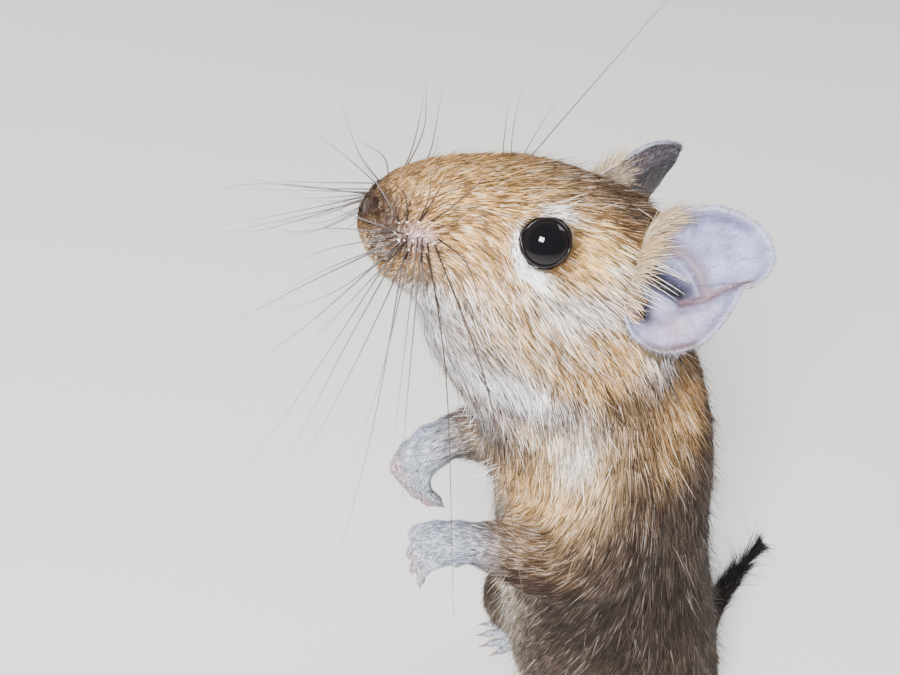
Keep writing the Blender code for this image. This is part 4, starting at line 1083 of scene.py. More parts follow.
    def joined(self) -> tuple[Array, Array]:
        """The flesh as one closed skin."""
        obj = self.flesh()
        remesh = obj.modifiers.new("join", "REMESH")
        remesh.mode = "VOXEL"
        remesh.voxel_size = self.voxel * MM
        baked(obj)
        bm = bmesh.new()
        bm.from_mesh(obj.data)
        bm.verts.ensure_lookup_table()
        left = set(bm.verts)
        best: list = []
        while left:
            seed = left.pop()
            group, edge = [seed], [seed]
            while edge:
                vert = edge.pop()
                for link in vert.link_edges:
                    other = link.other_vert(vert)
                    if other in left:
                        left.discard(other)
                        group.append(other)
                        edge.append(other)
            if len(group) > len(best):
                best = group
        keep = set(best)
        bmesh.ops.delete(bm, geom=[vert for vert in bm.verts if vert not in keep], context="VERTS")
        bmesh.ops.triangulate(bm, faces=bm.faces)
        bm.to_mesh(obj.data)
        bm.free()
        places, corners = arrays_of(obj.data)
        bpy.data.objects.remove(obj)
        return places, corners

    def draw_in(self, places: Array, corners: Array) -> Array:
        """Smooth the skin and draw it in by the coat's depth.

        Args:
            places: its vertices.
            corners: its triangles.

        Returns:
            The moved vertices.
        """
        web = Web(corners, len(places))
        places = web.even(places, 8, 0.5, 0.5)
        normals = normals_of(places, corners)
        normals = unit(web.even(normals, 6))
        _, length = COAT_LIE.read(places, normals)
        depth = web.even(np.clip(self.depth_share * length - 0.05, 0.02, None), 10)
        moved = places - normals * (depth + self.swell * 0.8)[:, None]
        return web.even(moved, 6, 0.5, 0.5)

    def sculpt(self, places: Array, corners: Array) -> Array:
        """Press the sockets, the nostrils, the lip's cleft and the line of the mouth into the head.

        Args:
            places: the skin's vertices.
            corners: its triangles.

        Returns:
            The moved vertices.
        """
        normals = normals_of(places, corners)
        local = POSE.frame_to_head(places)
        inward = -(normals @ POSE.turn())
        sides = left_side(local)
        flip = np.where(local[:, :1] < 0, -1.0, 1.0) * (1, 0, 0) + (0, 1, 1)
        press = np.zeros(len(places))
        gap, share = to_line(sides, NOSTRIL)
        press += (0.8 + 0.9 * share) * bell(gap, 0.52)
        press -= 0.22 * bell(gap - 1.0, 0.4)
        gap, share = to_line(sides, self.mouth)
        press += 0.75 * bell(gap, 0.42) * (1.0 - 0.5 * share)
        gap, _ = to_line(sides, self.cleft)
        press += 0.5 * bell(gap, 0.40)
        local = local + inward * press[:, None]
        mirrored = local * flip
        height, off = about_eye(mirrored)
        inside = (height > 0) & (off < self.socket)
        inside &= np.linalg.norm(mirrored - POSE.eye, axis=1) < self.socket_reach
        radius = EYE_RADIUS - 0.35
        sunk = np.sqrt(np.maximum(radius ** 2 - off ** 2, 0.0))
        low = np.minimum(height, sunk)
        blend = 1.0 - smoothstep(self.socket - 0.5, self.socket, off)
        change = np.where(inside, (low - height) * blend, 0.0)
        mound = self.mound - 0.55 * (off - self.socket)
        reach = 1.0 - smoothstep(self.socket + 0.9, self.socket + 2.6, off)
        reach = (off >= self.socket) * (height > 0) * reach
        change = change + np.maximum(mound - height, 0.0) * reach
        places = POSE.head_to_frame((mirrored + change[:, None] * EYE_OUT) * flip)
        for ear in EARS:
            places = ear.sink(places)
        return places

    def build(self) -> None:
        """Make the skin's piece, with its own unwrap."""
        places, corners = self.joined()
        places = self.draw_in(places, corners)
        obj = from_arrays("skin", places, corners, True)
        self.refine(obj)
        places, corners = arrays_of(obj.data)
        places = self.sculpt(places, corners)
        obj.data.vertices.foreach_set("co", (places * MM).astype(np.float32).ravel())
        obj.data.update()
        self.thin(obj)
        unwrap(obj)
        self.obj = obj

    def tree(self) -> BVHTree:
        """The skin as a tree for finding places on it, in millimetres."""
        places, corners = arrays_of(self.obj.data)
        return BVHTree.FromPolygons(places.tolist(), corners.tolist())

    def refine(self, obj: bpy.types.Object) -> None:
        """Give the nose and the mouth a finer mesh."""
        bm = bmesh.new()
        bm.from_mesh(obj.data)
        places = POSE.frame_to_head(np.array([vert.co[:] for vert in bm.verts]) / MM)
        _, back, high = places.T
        near = (back < -19.0) | ((back < -11.0) & (high < -6.5) & (high > -13.0))
        bm.verts.ensure_lookup_table()
        edges = [edge for edge in bm.edges if near[edge.verts[0].index] and near[edge.verts[1].index]]
        bmesh.ops.subdivide_edges(bm, edges=edges, cuts=1, use_grid_fill=True, smooth=0.0)
        bmesh.ops.triangulate(bm, faces=bm.faces)
        bm.to_mesh(obj.data)
        bm.free()

    def thin(self, obj: bpy.types.Object) -> None:
        """Thin the mesh out where the coat hides it, so that the piece stays light."""
        places, corners = arrays_of(obj.data)
        local = POSE.frame_to_head(places)
        whole = places - POSE.shift()
        face = 1.0 - smoothstep(8.0, 16.0, np.linalg.norm((local - (0, -14, -2)) / (1.0, 1.3, 1.0), axis=1))
        hands = smoothstep(38.0, 44.0, -whole[:, 1]) * (1.0 - smoothstep(104, 108, whole[:, 2]))
        feet = 1.0 - smoothstep(6.0, 10.0, whole[:, 2])
        keep = np.clip(np.maximum(np.maximum(face, hands), feet), 0.0, 1.0)
        group = obj.vertex_groups.new(name="hidden")
        for level in range(0, 11):
            rows = np.nonzero(np.round((1.0 - keep) * 10) == level)[0]
            if level and len(rows):
                group.add(rows.tolist(), level / 10, "REPLACE")
        fewer = obj.modifiers.new("thin", "DECIMATE")
        fewer.ratio = min(1.0, self.fine_limit / len(corners))
        fewer.vertex_group = "hidden"
        fewer.vertex_group_factor = 2.0
        baked(obj)

    def off_eye(self, local: Array) -> Array:
        """How far head places lie outside the round opening of the nearer eye."""
        height, off = about_eye(left_side(local))
        return np.where(height > 0, np.maximum(off - EYE_RIM, 0.0), FAR)

    def dress(self) -> None:
        """Paint the skin with the coat's markings: darker where hair hides it, for the dark underfur and as
        painted shade between the hairs; darker round the eyes, for their dark rim and as painted shade; near
        black in the nostrils, as painted shade in their hollows.
        """
        mesh = self.obj.data
        places, _ = arrays_of(mesh)
        colour, _, _, bare = PATTERN.read(places)
        local = POSE.frame_to_head(places)
        # Painted shade: the skin is darker where the coat covers it, partly for the dark underfur and partly
        # as shade between the hairs.
        under = colour * (0.42 + 0.58 * bare[:, None])
        # Painted shade round the eyes: the skin is darker near the lid, partly for the eye's dark rim and
        # partly as shade under the hair there.
        share, wide = self.rim_shade
        under = under * (1.0 - share * bell(self.off_eye(local), wide))[:, None]
        # Painted shade: the nostrils are painted near black, as shade in their hollows.
        gap, _ = to_line(left_side(local), NOSTRIL)
        hole = np.minimum(bell(gap, 0.75) * 1.7, 1.0)[:, None]
        under = under * (1 - hole) + Tone.HOLLOW.rgb * hole
        paint(mesh, under)
        damp = bell(np.linalg.norm((local - (0, -25.0, -1.0)) / (3.2, 1.3, 2.6), axis=1), 1.0)
        mark(mesh, "damp", np.clip(damp * 1.3, 0, 1) * (1.0 - hole[:, 0]))
        wear(self.obj, SkinFinish().material(), FLESH)


# The coat


@dataclass
class Roots:
    """Roots scattered over a mesh, each on a triangle with its share of the corners."""

    obj: bpy.types.Object
    places: Array
    corners: Array
    face: Array = field(init=False)
    share: Array = field(init=False)

    def scatter(self, rng: np.random.Generator, crowd: Array, count: int) -> None:
        """Spread roots over the mesh.

        Args:
            rng: the seeded source of chance.
            crowd: how close they stand on each triangle.
            count: how many there are.
        """
        a, b, c = (self.places[self.corners[:, index]] for index in range(3))
        area = 0.5 * np.linalg.norm(np.cross(b - a, c - a), axis=1)
        weight = np.cumsum(area * crowd)
        picks = (np.arange(count) + rng.random(count)) / count * weight[-1]
        self.face = np.minimum(np.searchsorted(weight, picks), len(self.corners) - 1)
        first, second = rng.random((2, count))
        over = first + second > 1
        first[over], second[over] = 1 - first[over], 1 - second[over]
        self.share = np.column_stack([1 - first - second, first, second])

    def keep(self, kept: Array) -> None:
        """Keep some of the roots."""
        self.face, self.share = self.face[kept], self.share[kept]

    def at(self, values: Array) -> Array:
        """Values of the mesh's vertices read at the roots."""
        rows = values[self.corners[self.face]]
        share = self.share if rows.ndim == 2 else self.share[:, :, None]
        return (rows * share).sum(1)

    def flat(self) -> Array:
        """Where each root lies on the mesh's own unwrap."""
        mesh = self.obj.data
        spots = np.zeros(len(mesh.loops) * 2)
        mesh.uv_layers["OFBake"].data.foreach_get("uv", spots)
        loops = np.zeros(len(mesh.loop_triangles) * 3, np.int32)
        mesh.loop_triangles.foreach_get("loops", loops)
        corners = spots.reshape(-1, 2)[loops.reshape(-1, 3)]
        return (corners[self.face] * self.share[:, :, None]).sum(1)


@dataclass
class Tufts:
    """Many fine closed tufts: each a root, two edges and a tip, bent like a folded leaf."""

    root: Array
    normal: Array
    middle: Array
    tip: Array
    wide: Array
    tones: Array
    flat: Array
    patch: float = 0.0015

    def piece(self, name: str, part: Array) -> bpy.types.Object:
        """Make one joined mesh of some of the tufts.

        Args:
            name: the piece's name.
            part: the tufts' numbers.

        Returns:
            The piece, with its colours and its unwrap.
        """
        root, tip, wide = self.root[part], self.tip[part], self.wide[part][:, None]
        side = unit(np.cross(unit(tip - root), self.normal[part])) * 0.5 * wide
        middle = root + (tip - root) * 0.42
        fold = self.middle[part] - middle
        deep = np.maximum(np.linalg.norm(fold, axis=1)[:, None], 1e-6)
        middle = middle + fold * np.minimum(0.55 * wide / deep, 1)
        places = np.stack([root, middle + side, middle - side, tip], 1)
        faces = np.array([(0, 1, 2), (3, 2, 1), (0, 3, 1), (0, 2, 3)])
        corners = (faces[None] + 4 * np.arange(len(part))[:, None, None]).reshape(-1, 3)
        obj = from_arrays(name, places.reshape(-1, 3), corners, False)
        tones = self.tones[part]
        paint(obj.data, tones[:, (0, 1, 1, 2)].reshape(-1, 3))
        spread = np.array([(-1, 0), (0, 1), (0, -1), (1, 0)]) * self.patch
        layer = obj.data.uv_layers.new(name="OFBake")
        spots = self.flat[part][:, None, None] + spread[faces][None]
        layer.data.foreach_set("uv", spots.reshape(-1).astype(np.float32))
        return obj


@dataclass
class Coat:
    """Short fur in fine tufts that follow the lie of the coat over the skin."""

    hide: Hide
    count: int = 345000
    seed: int = 11
    piece_limit: int = 46000
    clump: float = 0.06
    most_crowded: float = 15.0
    root_gap: float = 0.06
    tip_gap: float = 0.12
    floor: float = 0.1
    tree: BVHTree = field(init=False)
    lock: Array = field(init=False)

    def width(self, length: Array) -> Array:
        """A tuft's whole width in millimetres for its length."""
        return 0.056 + 0.0145 * length

    def settle(self, places: Array) -> tuple[Array, Array, Array]:
        """The nearest places on the skin.

        Args:
            places: places near it, one a row.

        Returns:
            Those on the skin, the normals there and the faces' numbers.
        """
        down, out, faces = np.empty_like(places), np.empty_like(places), np.empty(len(places), np.int64)
        find = self.tree.find_nearest
        for index, place in enumerate(places.tolist()):
            spot, normal, face, _ = find(place)
            down[index], out[index], faces[index] = spot, normal, face
        return down, out, faces

    def off_eyes(self, places: Array) -> Array:
        """Places moved out of the round openings of the eyes."""
        local = POSE.frame_to_head(places)
        flip = np.where(local[:, :1] < 0, -1.0, 1.0) * (1, 0, 0) + (0, 1, 1)
        seen = local * flip
        height, off = about_eye(seen)
        along = height[:, None] * EYE_OUT
        limit = EYE_RIM + self.tip_gap
        move = np.where((height > 0) & (off < limit), limit / np.maximum(off, 0.4), 1.0)
        seen = (seen - POSE.eye - along) * move[:, None] + along
        return POSE.head_to_frame((seen + POSE.eye) * flip)

    def trimmed(self, spots: Array) -> Array:
        """How much shorter the hair is near the eyes and the ears."""
        seen = left_side(POSE.frame_to_head(spots))
        share = 0.52 + 0.48 * smoothstep(EYE_RIM + 0.6, 8.5, np.linalg.norm(seen - POSE.eye, axis=1) - 0.4)
        for ear in EARS:
            flat = ear.unseat(spots)
            near = 0.90 + 0.10 * smoothstep(1.0, 1.35, ear.reach_of(flat[:, :2]))
            share *= np.where(np.abs(flat[:, 2]) < ear.near, near, 1.0)
        return share

    def beside_ears(self, spots: Array) -> Array:
        """How close roots stand to the front edge of an ear, from 0 to 1."""
        share = np.zeros(len(spots))
        for ear in EARS:
            flat = ear.unseat(spots)
            beside = (np.abs(flat[:, 2]) < ear.near) & (flat[:, 1] > -2.0) & (flat[:, 0] < 7.0)
            share = np.maximum(share, bell(ear.reach_of(flat[:, :2]) - 1.05, 0.16) * beside)
        return share

    def allowed(self, spots: Array) -> Array:
        """Roots that lie outside the eyes, the nostrils and the ears' bowls."""
        local = POSE.frame_to_head(spots)
        seen = left_side(local)
        height, off = about_eye(seen)
        keep = ~((height > 0) & (off < EYE_RIM + self.root_gap) & (height < 8))
        gap, _ = to_line(seen, NOSTRIL)
        keep &= gap > 0.55
        keep &= np.linalg.norm((local - (0, -25.5, -1.3)) / (2.2, 1.1, 1.5), axis=1) > 1.0
        for ear in EARS:
            keep &= ear.clear_of(spots)
        return keep

    def grow(self) -> Tufts:
        """Work out every tuft: its root, bend, tip, width and colours."""
        rng = np.random.default_rng(self.seed)
        places, corners = arrays_of(self.hide.obj.data)
        roots = Roots(self.hide.obj, places, corners)
        web = Web(corners, len(places))
        normals = unit(web.even(normals_of(places, corners), 3))
        flow, length = COAT_LIE.read(places, normals)
        flow = web.even(flow, 8)
        flow = unit(flow - normals * (flow * normals).sum(1, keepdims=True))
        length = web.even(length * self.trimmed(places), 8)
        bare = PATTERN.read(places)[3]
        self.tree = BVHTree.FromPolygons(places.tolist(), corners.tolist())
        mean = length[corners].mean(1)
        crowd = np.minimum(1.0 / (mean * self.width(mean)), self.most_crowded)
        crowd = crowd * (1.0 - 0.55 * np.clip(bare[corners].mean(1), 0, 1))
        crowd *= 1.0 + 1.6 * bell(self.hide.off_eye(POSE.frame_to_head(places))[corners].mean(1), 1.1)
        roots.scatter(rng, crowd, self.count)
        roots.keep(self.allowed(roots.at(places)))
        count = len(roots.face)
        root, normal, way = roots.at(places), unit(roots.at(normals)), unit(roots.at(flow))
        stray = rng.random(count) < 0.05
        body = root - POSE.shift()
        brush = smoothstep(34.0, 44.0, body[:, 1]) * (body[:, 2] < 30)
        reach = roots.at(length) * rng.uniform(0.7, 1.15, count) * np.where(stray, 1.35, 1.0)
        turn = rng.normal(0, math.radians(9), count) * (1 + stray + brush)
        way = unit(way * np.cos(turn)[:, None] + np.cross(normal, way) * np.sin(turn)[:, None])
        rise = self.hide.depth_share * reach * rng.uniform(0.55, 1.25, count)
        rise *= np.where(stray, 2.1, 1.0) * (1 + 1.2 * brush)
        rise *= 1.0 + 1.5 * self.beside_ears(root)
        low, out, face = self.settle(root + way * (0.45 * reach)[:, None])
        middle = low + out * (0.72 * rise)[:, None]
        onward = unit(flow[corners[face]].mean(1))
        onward = unit(onward * 0.75 + way * 0.55)
        low, out, _ = self.settle(low + onward * (0.55 * reach)[:, None])
        tip = low + out * (rise * rng.uniform(0.75, 1.15, count))[:, None]
        middle, tip = self.gather(rng, root, middle, tip, stray)
        middle, tip = self.off_eyes(middle), self.off_eyes(tip)
        for spots in (middle, tip):
            spots[:, 2] = np.maximum(spots[:, 2], self.floor)
        wide = self.width(reach) * rng.uniform(0.7, 1.2, count) * np.where(stray, 0.7, 1.0)
        return Tufts(root - normal * 0.1, normal, middle, tip, wide, self.colour(rng, root), roots.flat())

    def gather(self, rng: np.random.Generator, root: Array, middle: Array, tip: Array,
               stray: Array) -> tuple[Array, Array]:
        """Draw neighbouring tufts together at their tips, as fur lies in locks.

        Args:
            rng: the seeded source of chance.
            root: the roots.
            middle: the bends.
            tip: the tips.
            stray: which tufts stay out of the locks.

        Returns:
            The bends and tips, drawn together.
        """
        count = len(root)
        leaders = np.nonzero(rng.random(count) < self.clump)[0]
        tree = KDTree(len(leaders))
        for number, index in enumerate(leaders.tolist()):
            tree.insert(root[index], number)
        tree.balance()
        self.lock = np.array([tree.find(place)[1] for place in root.tolist()])
        lead = leaders[self.lock]
        pull = np.where(stray, 0.0, rng.uniform(0.1, 0.55, count))[:, None]
        return middle + (middle[lead] - middle) * pull * 0.35, tip + (tip[lead] - tip) * pull

    def colour(self, rng: np.random.Generator, root: Array) -> Array:
        """The tones of each tuft at its root, bend and tip: dusky, bright, then dark or pale; the pale tufts
        are partly painted highlights, and tufts near the eyes carry painted shade.
        """
        count = len(root)
        base, dark, pale, _ = PATTERN.read(root)
        lock_light = rng.normal(0, 1, self.lock.max() + 1)[self.lock]
        # Painted shade: tufts near the eyes are darker, partly for the eye's dark rim and partly as shade at
        # the lid's edge.
        base = base * (1.0 - 0.74 * bell(self.hide.off_eye(POSE.frame_to_head(root)), 0.62))[:, None]
        base = base * np.exp(0.20 * lock_light + rng.normal(0, 0.30, count))[:, None]
        draw = rng.random(count) + 0.06 * lock_light
        tones = np.stack([base * 0.30, base, base * 1.12], 1)
        tipped = rng.random(count) < 0.25
        tones[tipped, 2] *= 0.3
        darker = draw < dark
        black = Tone.BLACK.rgb * 1.5
        tones[darker] = np.stack([base * 0.16, base * 0.28, np.broadcast_to(black, base.shape)], 1)[darker]
        # The pale tufts are partly the coat's pale hairs and partly painted highlights: white streaks of sheen
        # along the hair.
        lighter = draw > 1 - pale
        white = Tone.WHITE.rgb
        whiteness_and_sheen = rng.uniform(0.42, 1.0, count) * np.clip(pale / 0.32, 0.03, 1.0)
        bright = np.minimum(base * (2.1 - 0.7 * np.minimum(pale / 0.2, 1.0))[:, None], 0.95)
        bright = bright + (white - bright) * whiteness_and_sheen[:, None]
        tones[lighter] = np.stack([base * 0.62, bright, bright * 1.10], 1)[lighter]
        return tones

    def build(self) -> list[bpy.types.Object]:
        """Make the coat's pieces, each under the limit of a piece."""
        tufts = self.grow()
        local = POSE.frame_to_head(tufts.root)
        on_head = (local[:, 1] < 19) & (local[:, 2] > -21) & (tufts.root[:, 2] > 128)
        made = []
        for word, chosen, key in (("head", on_head, local[:, 1]), ("body", ~on_head, -tufts.root[:, 2])):
            rows = np.nonzero(chosen)[0]
            rows = rows[np.argsort(key[rows], kind="stable")]
            parts = max(1, math.ceil(len(rows) / self.piece_limit))
            made += [tufts.piece(f"coat_{word}_{number}", part)
                     for number, part in enumerate(np.array_split(rows, parts), 1)]
        return made

    def dress(self, pieces: Sequence[bpy.types.Object]) -> None:
        """Finish the coat's pieces."""
        finish = TuftFinish("fur").material()
        for piece in pieces:
            wear(piece, finish)


# Threads: whiskers, bristles and long hairs


@dataclass
class Threads:
    """Many tapered threads in one mesh."""

    sides: int = 5
    places: list = field(default_factory=list)
    faces: list = field(default_factory=list)
    tones: list = field(default_factory=list)
    count: int = 0

    def add(self, line: Array, radius: float, tip: float, first: Sequence[float], last: Sequence[float],
            bulb: float = 1.0) -> None:
        """Add a thread.

        Args:
            line: the points down its middle, in millimetres.
            radius: its radius near the root.
            tip: its radius near the tip.
            first: its colour at the root.
            last: its colour at the tip.
            bulb: how much thicker its very root is.
        """
        ways = unit(np.gradient(line, axis=0))
        side = unit(np.cross(ways, (0.31, 0.2, 0.93)))
        up = np.cross(side, ways)
        share = np.concatenate([[0], np.cumsum(np.linalg.norm(np.diff(line, axis=0), axis=1))])
        share = share / share[-1]
        thick = radius + (tip - radius) * share ** 1.15
        thick[0] *= bulb
        turn = np.arange(self.sides) / self.sides * 2 * math.pi
        rings = line[:, None] + thick[:, None, None] * (np.cos(turn)[None, :, None] * side[:, None]
                                                        + np.sin(turn)[None, :, None] * up[:, None])
        start = self.count
        self.places.append(np.vstack([line[:1], rings.reshape(-1, 3), line[-1:]]))
        tones = np.array(first) + (np.array(last) - np.array(first)) * share[:, None]
        self.tones.append(np.vstack([tones[:1], np.repeat(tones, self.sides, axis=0), tones[-1:]]))
        total = len(line)
        for ring in range(total - 1):
            for index in range(self.sides):
                a = start + 1 + ring * self.sides + index
                b = start + 1 + ring * self.sides + (index + 1) % self.sides
                self.faces += [(a, b, b + self.sides), (a, b + self.sides, a + self.sides)]
        end = start + 1 + total * self.sides
        for index in range(self.sides):
            follow = (index + 1) % self.sides
            self.faces.append((start, start + 1 + follow, start + 1 + index))
            self.faces.append((end, end - self.sides + index, end - self.sides + follow))
        self.count = end + 1

    def build(self, name: str) -> bpy.types.Object:
        """Make the threads' piece."""
        obj = from_arrays(name, np.vstack(self.places), np.array(self.faces), True)
        paint(obj.data, np.vstack(self.tones))
        return obj


@dataclass
class Whiskers:
    """The whiskers of one side, in rows over the pad, and on the right those of the brow."""

    side: Side
    hide: Hide
    seed: int = 5
    radius: float = 0.115
    view: Triple = (0.83, -0.447, 0.333)
    right_longer: float = 0.10
    pore_gap: float = 0.85
    root_tone: Triple = (0.028, 0.017, 0.013)
    dark_tone: Triple = (0.12, 0.085, 0.07)
    pale_tone: Triple = (0.46, 0.45, 0.47)
    # Each whisker in head places of the left side: its root on the pad, a place along it, its tip,
    # and whether it is dark
    table: tuple = (
        ((9.7, -22.8, -0.5), (13.3, -35, -8.9), (18.6, -43.9, -15.3), 0),
        ((7.1, -21.1, -2.1), (13.7, -31.2, -12.9), (19.8, -40.2, -19.7), 0),
        ((7.4, -20.7, -2.3), (13.9, -28.4, -11.7), (19.4, -33.6, -15.2), 0),
        ((8.8, -21.9, -0.5), (22, -31.4, -17.8), (32.1, -37.9, -23.3), 0),
        ((7.3, -20.6, -1.4), (18.5, -27.1, -11.8), (33.1, -34.6, -25.2), 0),
        ((7.8, -19.8, -2.3), (20.3, -25.7, -14), (32.7, -32.4, -22.5), 0),
        ((7.3, -19.6, -1.1), (20.9, -22.2, -13.1), (32.8, -26.2, -19.5), 0),
        ((7.2, -19, -0.6), (21.8, -20.7, -10.4), (37.8, -22.8, -19), 0),
        ((7.2, -18.5, -0.2), (26.8, -19.1, -17), (40.7, -21.2, -20.6), 0),
        ((6.8, -20.4, -0.6), (26.9, -23.2, -16.2), (46.4, -28.6, -27.8), 0),
        ((7.8, -17.9, -0.6), (26.4, -16.5, -9.1), (50.7, -16.3, -23.2), 1),
        ((8.1, -17, -0.4), (28.4, -11.1, -9.6), (52.6, -7.8, -23.2), 1),
        ((7.9, -16.8, 0.3), (13.4, -13.8, 0), (21.5, -11.9, -4.1), 1),
        ((6.1, -21.8, -1.1), (6, -31.3, -3.3), (8.1, -38.3, -5.9), 0),
        ((6.4, -21.5, -1.4), (8, -30.4, -5), (11.5, -36.3, -8), 0),
        ((9.4, -22.2, -0.7), (12.3, -30.3, -5.1), (16.5, -37, -8.8), 0),
        ((6.1, -20.8, 0.7), (6, -22.8, 4.2), (6.2, -27.1, 6.2), 1),
        ((6.6, -19.5, 1.3), (7.5, -19.9, 5.5), (8, -21.8, 10.2), 1),
        ((6.6, -19.4, 1.4), (8.3, -19.3, 6.6), (10, -19.9, 13), 1),
        ((7, -18.2, 1.9), (8.8, -16.7, 6.1), (10.4, -14.2, 12.9), 1),
        ((7.3, -18.2, 0.9), (9.1, -16, 3.7), (10.5, -15, 7), 1),
        ((8.2, -18.3, -2), (19, -17.9, -7.1), (30, -18, -9.8), 0),
        ((8.6, -21.1, -1.1), (14.8, -29.5, -6.6), (20.9, -38.4, -9.5), 0),
        ((8.3, -17.7, -1.8), (15, -16.5, -4.8), (22.7, -15.6, -8), 1),
        ((5.8, -21.7, 0.2), (8.1, -26.2, 4.1), (10.3, -32.1, 9.6), 0),
        ((6.6, -20.9, -0.8), (9.4, -29.1, 1.2), (13, -38.2, 3.8), 0),
    )
    brow: tuple = (((5, -5.9, 9.9), (5.5, -7.1, 13.8), (5.8, -7.9, 18.6)),
                   ((6.2, -2.6, 10.1), (8.6, 2.2, 19.2), (15.5, 14.4, 42)),
                   ((3.7, -7.6, 9.8), (4, -8.6, 13), (4.3, -9.6, 16.4)),
                   ((5.6, -4, 10), (6.6, -2.8, 14), (8, -1.2, 19)))

    def thread(self, threads: Threads, points: Sequence[Array], dark: bool, rng: np.random.Generator,
               size: float = 1.0) -> None:
        """Add one whisker, bent in a smooth line through its points.

        Args:
            threads: the mesh it joins.
            points: head places of its root on the skin, its middle and its tip.
            dark: whether it is dark brown to its tip.
            rng: the seeded source of chance.
            size: its thickness against the others.
        """
        line = spline(points, 12)
        line = np.vstack([line[:1] - unit(line[1] - line[0]) * 0.4, line])
        threads.add(POSE.head_to_frame(line), self.radius * size * rng.uniform(0.85, 1.1), 0.018,
                    self.root_tone, self.dark_tone if dark else self.pale_tone)

    def pore(self, threads: Threads, root: Array, out: Array) -> None:
        """Add the small pale bulb of skin that a whisker grows from."""
        line = root + out * np.array([-0.25, -0.05, 0.08, 0.15])[:, None]
        threads.add(POSE.head_to_frame(line), 0.24, 0.13, (0.80, 0.72, 0.80), (0.88, 0.84, 0.92))

    def build(self) -> bpy.types.Object:
        """Make the whiskers of this side."""
        rng = np.random.default_rng(self.seed + self.side.value)
        threads = Threads()
        tree = self.hide.tree()
        flip = np.array((self.side.value, 1, 1))
        turn = POSE.turn()
        view = unit(np.array(self.view)) * flip
        pores: list[Array] = []
        for *points, dark in self.table:
            places = np.array(points) * flip
            places[1:] += rng.normal(0, 0.15 if self.side is Side.LEFT else 0.9, (2, 3))
            far = POSE.head_to_frame(places[0] + view * 30.0)[0]
            spot, normal, _, _ = tree.ray_cast(Vector(far), Vector(turn @ -view))
            places[0] = POSE.frame_to_head(np.array(spot))[0]
            places[1:] += (places[1:] - places[0]) * (0.0 if self.side is Side.LEFT else self.right_longer)
            self.thread(threads, places, bool(dark), rng)
            if all(np.linalg.norm(places[0] - other) > self.pore_gap for other in pores):
                self.pore(threads, places[0], np.array(normal) @ turn)
                pores.append(places[0])
        if self.side is Side.RIGHT:
            for points in self.brow:
                places = np.array(points) * flip
                spot = tree.find_nearest(Vector(POSE.head_to_frame(places[0])[0]))[0]
                places[0] = POSE.frame_to_head(np.array(spot))[0]
                self.thread(threads, places, True, rng, 0.7)
        return threads.build(f"whiskers_{self.side.word}_fine")

    def dress(self, obj: bpy.types.Object) -> None:
        """Finish the whiskers."""
        wear(obj, TuftFinish("whisker", 0.4, 0.2).material(), (f"whiskers_{self.side.word}",))


@dataclass(frozen=True)
class Lock:
    """A loose group of long hairs: its middle and spread, and their way, length, number and tone."""

    place: Triple
    spread: Triple
    way: Triple
    length: float
    count: int
    tone: Tone


@dataclass
class Guard:
    """Long single hairs that stand out of the coat at the forearms and the chest."""

    hide: Hide
    seed: int = 77
    locks: tuple = (
        Lock((18.0, -40.5, 100.0), (1.5, 3.5, 1.0), (0.0, -0.45, -0.9), 6.0, 16, Tone.CREAM),
        Lock((6.0, -42.5, 109.0), (2.0, 1.0, 5.0), (0.1, -0.9, -0.35), 5.0, 16, Tone.WHITE),
        Lock((-6.0, -42.5, 109.0), (2.0, 1.0, 5.0), (-0.1, -0.9, -0.35), 5.0, 14, Tone.WHITE),
        Lock((-18.0, -40.5, 100.0), (1.5, 3.5, 1.0), (0.0, -0.45, -0.9), 6.0, 14, Tone.CREAM),
    )

    def build(self) -> bpy.types.Object:
        """Make the hairs as one piece."""
        rng = np.random.default_rng(self.seed)
        threads, tree = Threads(), self.hide.tree()
        for lock in self.locks:
            for _ in range(lock.count):
                place = np.array(lock.place) + rng.normal(0, 0.6, 3) * lock.spread + POSE.shift()
                root = np.array(tree.find_nearest(Vector(place))[0])
                way = unit(np.array(lock.way) + rng.normal(0, 0.16, 3))
                length = lock.length * rng.uniform(0.7, 1.3)
                share = np.linspace(-0.06, 1, 8)[:, None]
                line = root + way * length * share + np.array((0.0, 0.0, -0.8)) * share ** 2
                tone = lock.tone.rgb
                threads.add(line, 0.055, 0.015, tone * 0.6, tone)
        return threads.build("guard_hairs")

    def dress(self, obj: bpy.types.Object) -> None:
        """Finish the hairs."""
        wear(obj, TuftFinish("guard").material())


# Eyes and lids


